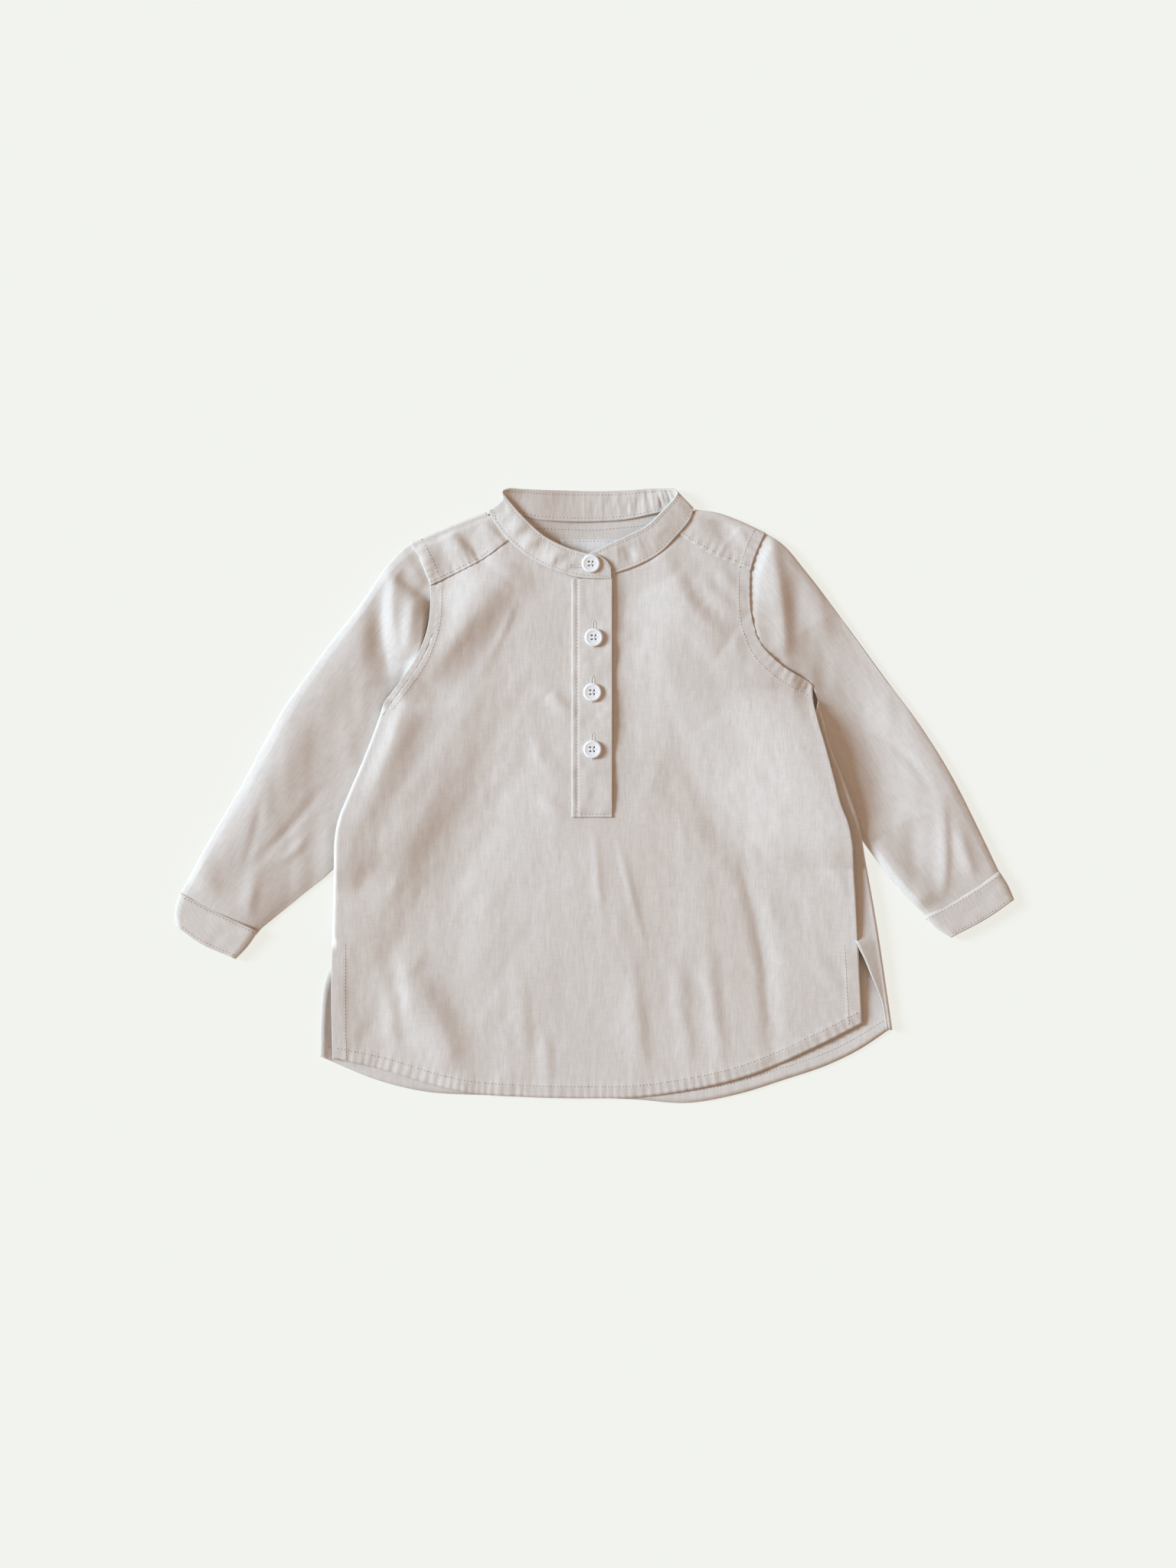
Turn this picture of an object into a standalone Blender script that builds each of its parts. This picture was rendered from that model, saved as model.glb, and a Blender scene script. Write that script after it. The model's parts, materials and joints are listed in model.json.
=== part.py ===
"""A toddler's band-collar popover shirt, laid flat on a table with its front up.

Lengths are in millimetres until a point goes into a mesh, where MM turns them into
metres. The origin is on the table under the middle of the shirt: +X is the wearer's
left, +Y runs towards the collar and +Z is up. "Right" and "left" are the wearer's.
Each cloth piece is a grid of points on the middle of its wall, and a Solidify
modifier gives the wall its thickness.
"""

import math

import bmesh
import bpy
import numpy as np
from mathutils import Vector

MM = 0.001

# Walls, gaps and rest heights
CLOTH_WALL = 1.0  # body, yoke and sleeves
STRIP_WALL = 1.2  # placket strips, two layers of cloth
BAND_WALL = 1.5  # collar and cuffs, two layers and an interlining
LABEL_WALL = 1.0
SEAM_GAP = 0.5
WRAP_GAP = 1.2  # from the back's turned edge to the front's left edge
LEAST_WRAP = 0.25  # least flat length of the back's turned edge
ON_TABLE = CLOTH_WALL / 2  # middle of a wall that lies on the table
BAND_ON_TABLE = BAND_WALL / 2
FOLD_HEIGHT = 4.2  # middle of the top layer where it turns over a side or a shoulder
FOLD_RADIUS = (FOLD_HEIGHT - ON_TABLE) / 2
EDGE_RUN = 34.0  # how far in from a fold the top layer takes to reach its full loft
FOLD_FADE = 14.0  # how far in from a fold the creases fade in
TURN = math.pi  # a half turn, from one layer to the other

# Collar and placket
PLACKET_LEFT_EDGE = 11.0  # free edge of the buttonhole band
PLACKET_RIGHT_EDGE = -12.0  # its stitched edge
PLACKET_TOP = 134.9
PLACKET_FOOT = -13.0
SLIT_RIGHT_EDGE = -9.6
SLIT_LEFT_EDGE = 9.1
SLIT_FOOT = -8.0
UNDER_FOOT = 7.0
SLIT_SPREAD = 45.0  # how far to each side the cloth makes way for the slit
FREE_EDGE_RISE = 1.5  # how far the free edge stands off the button band
FREE_FROM = 0.6  # share of the band's width where it starts to rise
FREE_FOOT = 0.12  # share of its length over which the stitched foot holds it down

# Buttons, an 18-line shirt button
BUTTON_RADIUS = 5.75
BUTTON_HEIGHT = 2.4
BUTTON_RIM = 1.1
BUTTON_DISH = 0.7
BUTTON_BEVEL = 0.9  # under its edge
BUTTON_WIDEST = 1.08  # height of its widest ring
BUTTON_ROUND = 0.33  # on top of its rim
BUTTON_HOLE_RADIUS = 0.8
BUTTON_HOLE_SPACING = 2.4
BUTTON_SIDES = 20
# x, y, height of its underside above the loft of the front, tilt up towards the collar
BUTTONS = (
    (-2.4, 145.2, 3.9, 4.0),
    (-0.6, 99.0, 2.9, 1.5),
    (-1.5, 64.6, 2.8, 0.0),
    (-1.5, 28.9, 2.9, 0.0),
)

# Label on the inside of the back yoke
LABEL_RIGHT, LABEL_LEFT = -21.6, 16.8
LABEL_TOP, LABEL_FOOT = 160.6, 142.0

# Plan outlines, as (x, y) points that a smooth curve runs through
ARMHOLE_RIGHT = (
    (-115.7, 158.4), (-111.4, 150.7), (-105.4, 137.5), (-103.2, 131.5), (-103.0, 121.0),
    (-105.0, 104.0), (-111.4, 87.4), (-121.4, 72.5), (-132.0, 58.6),
)
ARMHOLE_LEFT = (
    (107.0, 164.6), (101.8, 153.1), (97.9, 141.1), (97.4, 131.4), (97.4, 122.0),
    (99.2, 107.5), (104.0, 94.5), (118.5, 79.5), (136.8, 69.1),
)
SHOULDER_RIGHT = ((-67.9, 177.8), (-85.0, 171.4), (-102.0, 164.2), (-115.7, 158.4))
SHOULDER_LEFT = ((62.5, 179.2), (76.0, 177.4), (90.2, 172.4), (107.0, 164.6))
YOKE_SEAM_RIGHT = ((-103.2, 131.5), (-85.0, 140.2), (-70.6, 147.8), (-54.8, 159.6))
YOKE_SEAM_LEFT = ((52.9, 163.4), (66.2, 155.0), (80.6, 147.8), (97.9, 141.1))
NECK_RIGHT = (
    (-54.8, 159.6), (-46.0, 152.0), (-37.2, 145.8), (-22.7, 139.4), (-8.2, 135.6), (-0.2, 135.2),
)
NECK_LEFT = ((-0.2, 135.2), (11.2, 138.1), (27.9, 143.9), (42.3, 152.1), (52.9, 163.4))
BACK_YOKE_SEAM = 131.4
SIDE_RIGHT = (
    (-132.0, 58.6), (-136.3, 45.6), (-145.9, 20.6), (-155.5, -1.9), (-160.8, -15.4),
    (-162.8, -26.0), (-163.4, -43.7), (-164.8, -91.7), (-165.2, -130.0), (-164.6, -165.6),
)
SEAM_LEFT = (
    (136.8, 69.1), (136.9, 60.0), (139.4, 48.0), (144.4, 30.7), (150.2, 9.1), (154.6, -7.0),
    (158.6, -17.0), (161.3, -29.3), (162.7, -48.5), (164.0, -70.0), (164.7, -82.0),
    (165.1, -91.7), (167.0, -125.3), (168.0, -143.0),
)
FOLD_LEFT = (
    (136.8, 69.1), (142.0, 52.3), (147.3, 30.7), (155.0, 11.5), (164.6, -14.9),
    (169.4, -38.9), (177.1, -82.1), (182.9, -120.5), (186.7, -146.9),
)
TURNED_EDGE_LEFT = (
    (165.4, -91.7), (169.4, -99.8), (174.2, -111.8), (180.5, -129.1), (183.4, -146.9),
)
BACK_SIDE_RIGHT = ((-165.4, -104.0), (-169.6, -119.0), (-171.8, -139.7), (-172.2, -163.7))
HEM_FRONT = (
    (-164.6, -165.6), (-133.0, -172.3), (-104.2, -181.0), (-80.0, -186.6), (-45.0, -189.2),
    (0.0, -190.1), (25.0, -189.6), (50.4, -186.5), (96.0, -176.2), (137.8, -158.4),
    (168.0, -143.0),
)
HEM_BACK = (
    (-172.2, -163.7), (-161.3, -168.7), (-137.8, -178.3), (-112.0, -185.0), (-61.0, -188.4),
    (25.0, -190.8), (58.6, -193.0), (88.3, -187.9), (119.5, -178.3), (147.4, -168.7),
    (166.6, -159.2), (186.7, -146.9),
)

# Sleeves and cuffs in plan. An inner edge runs under the body until it comes clear.
OUTER_RIGHT = (
    (-115.7, 158.4), (-127.7, 148.3), (-148.3, 119.5), (-170.4, 90.7), (-197.3, 52.3),
    (-223.2, 4.3), (-245.3, -34.1), (-259.7, -61.0),
)
INNER_RIGHT = (
    (-111.4, 87.4), (-122.0, 72.8), (-132.9, 58.2), (-137.3, 45.0), (-140.0, 30.0),
    (-141.5, 10.0), (-145.0, -8.0), (-152.0, -27.0), (-163.7, -44.2), (-185.3, -62.9),
    (-211.7, -85.0),
)
OUTER_LEFT = (
    (107.0, 164.6), (118.6, 157.4), (134.9, 138.7), (156.5, 109.9), (184.3, 71.5),
    (205.4, 42.7), (223.2, 13.9), (242.4, -24.5), (253.4, -48.0),
)
INNER_LEFT = (
    (104.0, 94.5), (118.9, 80.1), (137.7, 69.9), (142.1, 56.5), (143.8, 46.0), (145.0, 36.0),
    (147.8, 20.0), (153.2, 0.0), (160.2, -16.0), (168.0, -27.0), (187.2, -53.3), (207.4, -75.8),
)
CUFF_SEAM_RIGHT = ((-259.7, -61.0), (-238.6, -72.0), (-211.7, -85.0))
CUFF_END_RIGHT = ((-262.0, -82.4), (-248.6, -92.0), (-225.9, -102.3))
CUFF_OUTER_RIGHT = ((-259.7, -61.0), (-262.9, -72.5), (-262.0, -82.4))
CUFF_INNER_RIGHT = ((-211.7, -85.0), (-218.8, -95.0), (-225.9, -102.3))
CUFF_SEAM_LEFT = ((253.4, -48.0), (231.8, -62.3), (207.4, -75.8))
CUFF_END_LEFT = ((262.7, -65.5), (246.7, -76.6), (224.0, -88.8))
CUFF_OUTER_LEFT = ((253.4, -48.0), (258.7, -56.5), (262.7, -65.5))
CUFF_INNER_LEFT = ((207.4, -75.8), (215.4, -83.5), (224.0, -88.8))

# Heights. Rest of the top layer and the loft over it, by y
REST = ((-194.0, 2.0), (-165.0, 2.1), (-130.0, 3.0), (-95.0, FOLD_HEIGHT), (200.0, FOLD_HEIGHT))
LOFT = (
    (-194.0, 0.2), (-165.0, 0.9), (-120.0, 1.8), (-40.0, 2.6), (60.0, 3.0), (130.0, 3.4),
    (200.0, 2.6),
)
# How high the tucked sleeve lifts the body's side, by y
TUCK_RIGHT = ((-62.0, 0.0), (-46.0, 4.6), (-10.0, 5.6), (40.0, 4.6), (46.0, 4.4), (58.0, 0.0))
TUCK_LEFT = (
    (-46.0, 0.0), (-30.0, 5.5), (-10.0, 7.6), (20.0, 8.6), (38.0, 8.2), (46.0, 7.2), (66.0, 0.0),
)
TUCK_MARGIN = 1.5
TUCK_RUN = 15.0  # how fast the back falls to the table beside the sleeve
TUCK_SPREAD = 70.0  # how far in the front still feels the lift
TUCK_SHARE = 0.45  # how much of the lift it feels there

# Heights of a sleeve's upper layer, by the share s of its length, at shares of its width
WIDTH_SHARES = (0.0, 0.15, 0.4, 0.65, 0.88, 1.0)
SLEEVE_RIGHT_HEIGHTS = (
    (0.00, 7.0, 7.0, 7.0, 6.0, 4.0, 3.6),
    (0.15, 7.0, 9.0, 8.5, 7.0, 3.9, 3.6),
    (0.35, 6.0, 8.5, 8.0, 6.4, 3.7, 3.5),
    (0.60, 5.0, 7.6, 8.0, 6.8, 3.7, 3.5),
    (0.85, 5.0, 7.0, 7.2, 6.8, 5.4, 4.6),
    (1.00, 5.0, 5.6, 5.6, 5.6, 5.4, 5.0),
)
SLEEVE_LEFT_HEIGHTS = (
    (0.00, 7.0, 7.0, 7.0, 7.0, 7.0, 6.0),
    (0.15, 5.0, 6.6, 6.2, 7.4, 7.0, 6.0),
    (0.35, 4.6, 6.6, 6.6, 6.2, 7.0, 5.6),
    (0.60, 4.6, 6.8, 7.4, 5.8, 4.8, 4.6),
    (0.85, 4.6, 6.4, 7.4, 6.2, 4.8, 4.6),
    (1.00, 4.8, 5.6, 5.6, 5.6, 5.4, 5.0),
)
CAP_GAP = 0.4  # from the armhole's edge to the sleeve's
CAP_RUN = 0.12  # share of a sleeve's length where it leaves the armhole's height
FOLD_START, FOLD_END = 0.05, 0.06  # shares of its length where its creases fade in and out
CUFF_HEIGHT = 5.6
CUFF_START = 0.03  # share of a cuff's depth between the sleeve's end and the cuff

# Creases: start, middle and end of the crest in plan, half width, height (a trough is below 0)
BODY_FOLDS = (
    (-60.0, 138.0, -86.0, 112.0, -108.0, 86.0, 8.0, 3.6),
    (43.0, 139.0, 62.0, 118.0, 94.0, 97.0, 5.5, -2.4),
    (76.0, 139.0, 86.0, 124.0, 97.0, 112.0, 4.0, 1.6),
    (-84.0, 2.0, -120.0, -46.0, -140.0, -90.0, 11.0, 2.6),
    (60.0, 8.0, 95.0, -50.0, 110.0, -165.0, 8.0, -1.8),
    (28.0, 112.0, 34.0, 60.0, 22.0, 10.0, 14.0, 1.6),
    (150.0, -10.0, 150.0, -50.0, 156.0, -90.0, 7.0, 1.6),
    (-128.0, -96.0, -126.0, -130.0, -124.0, -172.0, 8.0, 2.0),
    (-100.0, -120.0, -84.0, -150.0, -80.0, -178.0, 8.0, 1.6),
    (-50.0, -110.0, -48.0, -150.0, -46.0, -184.0, 7.0, 1.5),
    (-12.0, -40.0, -10.0, -110.0, -4.0, -182.0, 8.0, 1.2),
    (30.0, -60.0, 34.0, -120.0, 38.0, -180.0, 7.0, 1.4),
    (72.0, -90.0, 76.0, -130.0, 80.0, -176.0, 8.0, 1.5),
    (134.0, -60.0, 136.0, -100.0, 142.0, -150.0, 8.0, 1.6),
)
SLEEVE_RIGHT_FOLDS = (
    (-122.0, 144.0, -117.5, 108.0, -121.0, 80.0, 6.0, 5.4),
    (-152.0, 112.0, -154.0, 88.0, -148.0, 66.0, 7.0, 2.0),
    (-186.0, 46.0, -196.0, 8.0, -226.0, -38.0, 9.0, 2.4),
    (-176.0, 10.0, -200.0, -30.0, -222.0, -60.0, 6.0, -1.4),
)
SLEEVE_LEFT_FOLDS = (
    (110.0, 154.0, 116.0, 122.0, 118.0, 86.0, 6.0, 6.0),
    (136.0, 132.0, 143.0, 110.0, 150.0, 92.0, 6.0, 2.2),
    (170.0, 60.0, 186.0, 30.0, 204.0, 10.0, 9.0, 1.6),
    (214.0, 10.0, 216.0, -30.0, 220.0, -66.0, 7.0, 2.4),
)
FOLD_STEPS = 6  # straight stretches that stand for a crest
FOLD_FADE_OUT = 0.12  # share of a half wave left out at each end, so an end keeps some height

# Collar band from its upper end, round the neck, to its lower end:
# seam x, y, z and top edge x, y, z
BAND_ROWS = (
    (10.6, 135.8, 9.6, 10.2, 142.4, 9.9),
    (8.8, 135.7, 9.6, 8.4, 145.8, 10.1),
    (5.0, 135.7, 9.6, 4.0, 149.6, 10.2),
    (-8.2, 136.2, 9.5, -6.0, 151.9, 10.4),
    (-22.6, 140.0, 8.6, -17.8, 155.6, 10.4),
    (-37.0, 146.4, 7.7, -31.2, 162.4, 9.9),
    (-51.4, 157.2, 6.8, -42.6, 172.6, 8.8),
    (-60.4, 167.3, 5.4, -51.4, 182.0, 7.0),
    (-66.0, 176.4, 4.3, -56.8, 188.8, 5.0),
    (-66.9, 178.1, 2.8, -58.0, 190.6, 3.1),
    (-63.4, 178.6, 1.4, -55.4, 192.0, 1.4),
    (-54.0, 177.3, 0.9, -46.0, 192.0, 0.9),
    (-37.0, 173.1, 0.75, -33.0, 191.6, 0.75),
    (-18.0, 171.8, 0.75, -17.0, 191.3, 0.75),
    (1.4, 171.9, 0.75, 1.0, 191.0, 0.75),
    (20.6, 173.3, 0.75, 19.5, 191.5, 0.75),
    (37.0, 176.8, 0.75, 34.5, 192.4, 0.75),
    (50.0, 179.8, 0.9, 45.0, 192.4, 0.9),
    (58.0, 181.0, 1.4, 49.0, 192.0, 1.5),
    (61.6, 179.9, 2.8, 51.4, 190.2, 3.1),
    (60.4, 174.4, 4.4, 50.0, 187.0, 5.0),
    (56.4, 168.3, 5.4, 46.4, 182.9, 6.6),
    (51.4, 162.7, 6.3, 41.8, 178.0, 7.8),
    (41.8, 152.6, 7.0, 33.4, 170.0, 8.4),
    (27.6, 144.5, 7.4, 21.0, 163.3, 8.5),
    (11.0, 138.8, 7.5, 10.6, 158.6, 8.3),
    (-2.0, 136.2, 7.4, -2.4, 152.4, 7.9),
    (-11.0, 137.2, 7.2, -11.0, 149.6, 7.6),
)
BAND_PINCH = 4.0  # how far the band's right fold dips in between its seam and top edge
BAND_FOLD_X, BAND_FOLD_SPREAD = -62.0, 7.0  # where that fold is, and how far the dip spreads
BAND_FOLD_FOOT, BAND_FOLD_RUN = 172.0, 6.0  # above which y the dip starts, and its run
# Yoke sections that lie flat, as neck x, y and outer x, y
YOKE_FRONT_RIGHT = (
    (-56.2, 159.4, -102.9, 132.0), (-61.0, 166.8, -106.6, 141.0), (-64.5, 172.4, -110.6, 149.6),
)
YOKE_BACK = (
    (-62.5, 176.6, -110.4, 149.6), (-55.0, 176.2, -106.4, 141.0), (-46.6, 174.6, -103.0, 131.9),
    (-36.0, 172.2, -80.0, 131.9), (-24.0, 171.2, -54.0, 131.9), (-11.0, 170.9, -27.0, 131.9),
    (1.4, 171.2, 0.0, 131.9),
    (13.0, 171.9, 26.0, 131.9), (25.0, 173.4, 52.0, 131.9), (36.0, 175.8, 76.0, 131.9),
    (46.0, 178.2, 97.0, 131.9), (51.0, 179.0, 97.4, 141.4), (57.0, 179.4, 101.2, 153.0),
)
YOKE_FRONT_LEFT = ((60.8, 173.4, 101.2, 153.0), (54.2, 164.4, 97.6, 141.9))

# Grids: columns across and rows down
FRONT_TURN_COLUMNS, FRONT_COLUMNS, FRONT_ROWS = 4, 24, 30
BACK_TURN_COLUMNS, BACK_COLUMNS, BACK_ROWS = 6, 16, 22
ARMHOLE_SHARE = 0.3  # share of a body panel's rows that lie beside the armhole
SLEEVE_SIDES, SLEEVE_ROWS = 32, 14
CUFF_SIDES, CUFF_ROWS = 20, 2
TURN_STEPS = 4
LEAST_STRIP = 4.0  # width of a side strip where it lies unturned
LEAST_ANGLE = 0.01  # least turn of a strip, in radians
# Where along y each side strip starts to turn, and over how long a run it is fully turned
FRONT_TURN_TOP, FRONT_TURN_TOP_RUN = 58.0, 12.0
FRONT_TURN_FOOT, FRONT_TURN_FOOT_RUN = -98.0, 18.0
BACK_TURN_TOP, BACK_TURN_TOP_RUN = 66.0, 16.0
SLIT_RUN = 2.0  # over how long a run the slit opens at its foot
SHOULDER_START, SHOULDER_END = 0.006, 0.996  # shares of a shoulder line that the yoke covers

# How smooth curves and soft edges are worked out
TANGENT_STEP = 0.004  # share of a curve to each side that gives its direction
SLIT_TOLERANCE = 1e-4
EDGE_SOFTNESS = 0.6  # how full a flattened tube is towards its folded edges
EDGE_REACH = 0.5

CLOTH_COLOUR = (0.68, 0.65, 0.61)
BUTTON_COLOUR = (0.88, 0.87, 0.85)
LABEL_COLOUR = (0.74, 0.71, 0.68)


def ease(share):
    """A soft step from 0 to 1."""
    share = np.clip(share, 0.0, 1.0)
    return share * share * (3.0 - 2.0 * share)


def blend(first, second, share):
    """What lies a share of the way from first to second."""
    return first + (second - first) * share


def through(knots, values):
    """A smooth function through values at rising knots, level beyond both ends."""
    knots = np.array(knots, float)
    values = np.array(values, float)
    slopes = np.gradient(values, knots, axis=0)

    def at(place):
        place = np.clip(place, knots[0], knots[-1])
        index = np.clip(np.searchsorted(knots, place, side="right") - 1, 0, len(knots) - 2)
        step = knots[index + 1] - knots[index]
        share = (place - knots[index]) / step
        if values.ndim > 1:
            step = step[..., None]
            share = share[..., None]
        start = (1 + 2 * share) * (1 - share) ** 2 * values[index]
        end = share**2 * (3 - 2 * share) * values[index + 1]
        leave = share * (1 - share) ** 2 * step * slopes[index]
        arrive = share**2 * (share - 1) * step * slopes[index + 1]
        return start + end + leave + arrive

    return at


def by_y(rows):
    """A smooth function of y from rows of (y, value)."""
    rows = sorted(rows)
    return through([row[0] for row in rows], [row[1] for row in rows])


def x_by_y(points):
    """The x of an outline as a smooth function of y."""
    return by_y([(y, x) for x, y in points])


def smooth_curve(points):
    """A smooth plan curve through points, as a function of the share of its length."""
    points = np.array(points, float)
    steps = np.linalg.norm(np.diff(points, axis=0), axis=1)
    reach = np.concatenate([[0.0], np.cumsum(steps)])
    return through(reach / reach[-1], points)


def joined(*parts):
    """One curve from several, each given with the share where it ends."""

    def at(share):
        share = np.asarray(share, float)
        start = 0.0
        point = None
        for curve, end in parts:
            piece = curve(np.clip((share - start) / (end - start), 0.0, 1.0))
            point = piece if point is None else np.where((share > start)[..., None], piece, point)
            start = end
        return point

    return at


def across(curve, share, inside):
    """Unit vectors at right angles to a plan curve, towards the point inside."""
    ahead = curve(np.clip(share + TANGENT_STEP, 0, 1))
    tangent = ahead - curve(np.clip(share - TANGENT_STEP, 0, 1))
    normal = np.stack([-tangent[..., 1], tangent[..., 0]], axis=-1)
    normal /= np.linalg.norm(normal, axis=-1, keepdims=True)
    towards = np.sum(normal * (np.array(inside) - curve(share)), axis=-1, keepdims=True)
    return normal * np.sign(towards)


def moved(curve, inside, amount):
    """A plan curve shifted by an amount towards the point inside."""

    def at(share):
        share = np.asarray(share, float)
        return curve(share) + across(curve, share, inside) * amount

    return at


def stretched(top, foot, first, last):
    """The plan of a sheet between four edge curves; u runs along top, v along first."""

    def at(u, v):
        u_column = u[:, None]
        v_column = v[:, None]
        rows = (1 - v_column) * top(u) + v_column * foot(u)
        columns = (1 - u_column) * first(v) + u_column * last(v)
        upper = (1 - u_column) * first(0.0 * v) + u_column * last(0.0 * v)
        lower = (1 - u_column) * first(0.0 * v + 1.0) + u_column * last(0.0 * v + 1.0)
        return rows + columns - (1 - v_column) * upper - v_column * lower

    return at


def distance(x, y, line):
    """Shortest way from each (x, y) to a line of straight stretches."""
    nearest = np.full(np.shape(x), np.inf)
    for (x0, y0), (x1, y1) in zip(line, line[1:]):
        length = (x1 - x0) ** 2 + (y1 - y0) ** 2
        share = np.clip(((x - x0) * (x1 - x0) + (y - y0) * (y1 - y0)) / length, 0.0, 1.0)
        away = np.hypot(x - blend(x0, x1, share), y - blend(y0, y1, share))
        nearest = np.minimum(nearest, away)
    return nearest


def creases(x, y, rows):
    """Sum of soft ridges and troughs, each along a curved crest that fades at both ends."""
    rise = np.zeros(np.shape(x))
    for x0, y0, x1, y1, x2, y2, width, height in rows:
        crest = smooth_curve(((x0, y0), (x1, y1), (x2, y2)))(np.linspace(0.0, 1.0, FOLD_STEPS + 1))
        wave = np.linspace(FOLD_FADE_OUT, 1 - FOLD_FADE_OUT, FOLD_STEPS + 1)
        strength = np.sin(wave * math.pi)
        whole = np.zeros(np.shape(x))
        for (start, end), (weak, strong) in zip(zip(crest, crest[1:]), zip(strength, strength[1:])):
            away = distance(x, y, (start, end))
            whole = np.maximum(whole, np.exp(-((away / width) ** 2)) * (weak + strong) / 2)
        rise += height * whole
    return rise


rest_height = by_y(REST)
loft_height = by_y(LOFT)
tuck_right = by_y(TUCK_RIGHT)
tuck_left = by_y(TUCK_LEFT)
sleeve_edge_right = x_by_y(INNER_RIGHT[2:])
sleeve_edge_left = x_by_y(INNER_LEFT[2:])


def lift(x, y, run):
    """How far a tucked sleeve raises the cloth over it, fading to nothing over a run."""
    past_right = x - sleeve_edge_right(y) - TUCK_MARGIN
    past_left = sleeve_edge_left(y) - x - TUCK_MARGIN
    right = tuck_right(y) * (1 - ease(past_right / run))
    left = tuck_left(y) * (1 - ease(past_left / run))
    return np.maximum(np.maximum(right, left), 0.0)


def top_height(x, y):
    """Middle of the top layer over the body: its rest, the tucked sleeves, loft and creases."""
    inset = distance(x, y, SHOULDER_RIGHT)
    for line in (SHOULDER_LEFT, SIDE_RIGHT, SEAM_LEFT):
        inset = np.minimum(inset, distance(x, y, line))
    under = lift(x, y, TUCK_RUN)
    spread = TUCK_SHARE * lift(x, y, TUCK_SPREAD)
    loft = loft_height(y) * ease(inset / EDGE_RUN)
    relief = creases(x, y, BODY_FOLDS) * ease(inset / FOLD_FADE)
    return rest_height(y) + np.maximum(under, spread) + loft + relief


def principled(name, colour, roughness):
    """A material of one colour."""
    material = bpy.data.materials.new(name)
    material.use_nodes = True
    shader = material.node_tree.nodes["Principled BSDF"]
    shader.inputs["Base Color"].default_value = (*colour, 1.0)
    shader.inputs["Roughness"].default_value = roughness
    shader.inputs["Metallic"].default_value = 0.0
    return material


def add_object(name, bm, colour, roughness=0.85):
    """Puts a bmesh into the scene as a named object with a material of its own."""
    mesh = bpy.data.meshes.new(name)
    bm.to_mesh(mesh)
    bm.free()
    mesh.materials.append(principled(name, colour, roughness))
    mesh.shade_smooth()
    piece = bpy.data.objects.new(name, mesh)
    piece.parent = shirt
    bpy.context.scene.collection.objects.link(piece)
    return piece


def thicken(piece, wall):
    """Gives a sheet its wall, half to each side of its points."""
    solidify = piece.modifiers.new("wall", "SOLIDIFY")
    solidify.thickness = wall * MM
    solidify.offset = 0.0


def grid(columns, rows):
    """A flat unit grid, to be laid in place point by point."""
    bm = bmesh.new()
    bmesh.ops.create_grid(bm, x_segments=columns, y_segments=rows, size=0.5)
    return bm


def lay(bm, place):
    """Moves each point of a unit grid to where place(u, v) says; v runs down."""
    bm.verts.ensure_lookup_table()
    u = np.array([vert.co.x + 0.5 for vert in bm.verts])
    v = np.array([0.5 - vert.co.y for vert in bm.verts])
    for vert, point in zip(bm.verts, place(u, v)):
        vert.co = Vector(point) * MM


def sheet(name, columns, rows, place, wall, colour=CLOTH_COLOUR):
    """A cloth piece from a grid of columns and rows."""
    bm = grid(columns, rows)
    lay(bm, place)
    thicken(add_object(name, bm, colour), wall)


def tube(name, sides, rows, place, wall):
    """A cloth tube: the grid's two long edges meet and are joined."""
    bm = grid(sides, rows)
    lay(bm, place)
    bmesh.ops.remove_doubles(bm, verts=bm.verts, dist=0.01 * MM)
    bmesh.ops.recalc_face_normals(bm, faces=bm.faces)
    thicken(add_object(name, bm, CLOTH_COLOUR), wall)


def turned(share, width, angle, flat):
    """Way out and way up along a strip bent through an angle, then straight on for a flat length.

    The bend takes the first two thirds of the share.
    """
    angle = np.maximum(angle, LEAST_ANGLE)
    radius = width / angle
    bend = angle * np.clip(share * 1.5, 0.0, 1.0)
    straight = flat * np.clip(share * 3.0 - 2.0, 0.0, 1.0)
    out = radius * np.sin(bend) + straight * np.cos(angle)
    up = radius * (1 - np.cos(bend)) + straight * np.sin(angle)
    return out, up


def strip_reach(width, angle, flat):
    """How far out of its start such a strip gets."""
    angle = np.maximum(angle, LEAST_ANGLE)
    widest = np.minimum(angle, TURN / 2)
    return width / angle * np.sin(widest) + flat * np.cos(widest)


def slit(bm, column, row):
    """Opens a unit grid along a column, from its top edge down to a row."""
    def on_slit(vert):
        return abs(vert.co.x - column) < SLIT_TOLERANCE and vert.co.y > row - SLIT_TOLERANCE

    bmesh.ops.split_edges(bm, edges=[edge for edge in bm.edges if all(map(on_slit, edge.verts))])
    for vert in bm.verts:
        if on_slit(vert) and vert.co.y > row + SLIT_TOLERANCE:
            beside = vert.link_faces[0].calc_center_median().x
            vert.co.x += math.copysign(SLIT_TOLERANCE / 10, beside - column)


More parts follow.
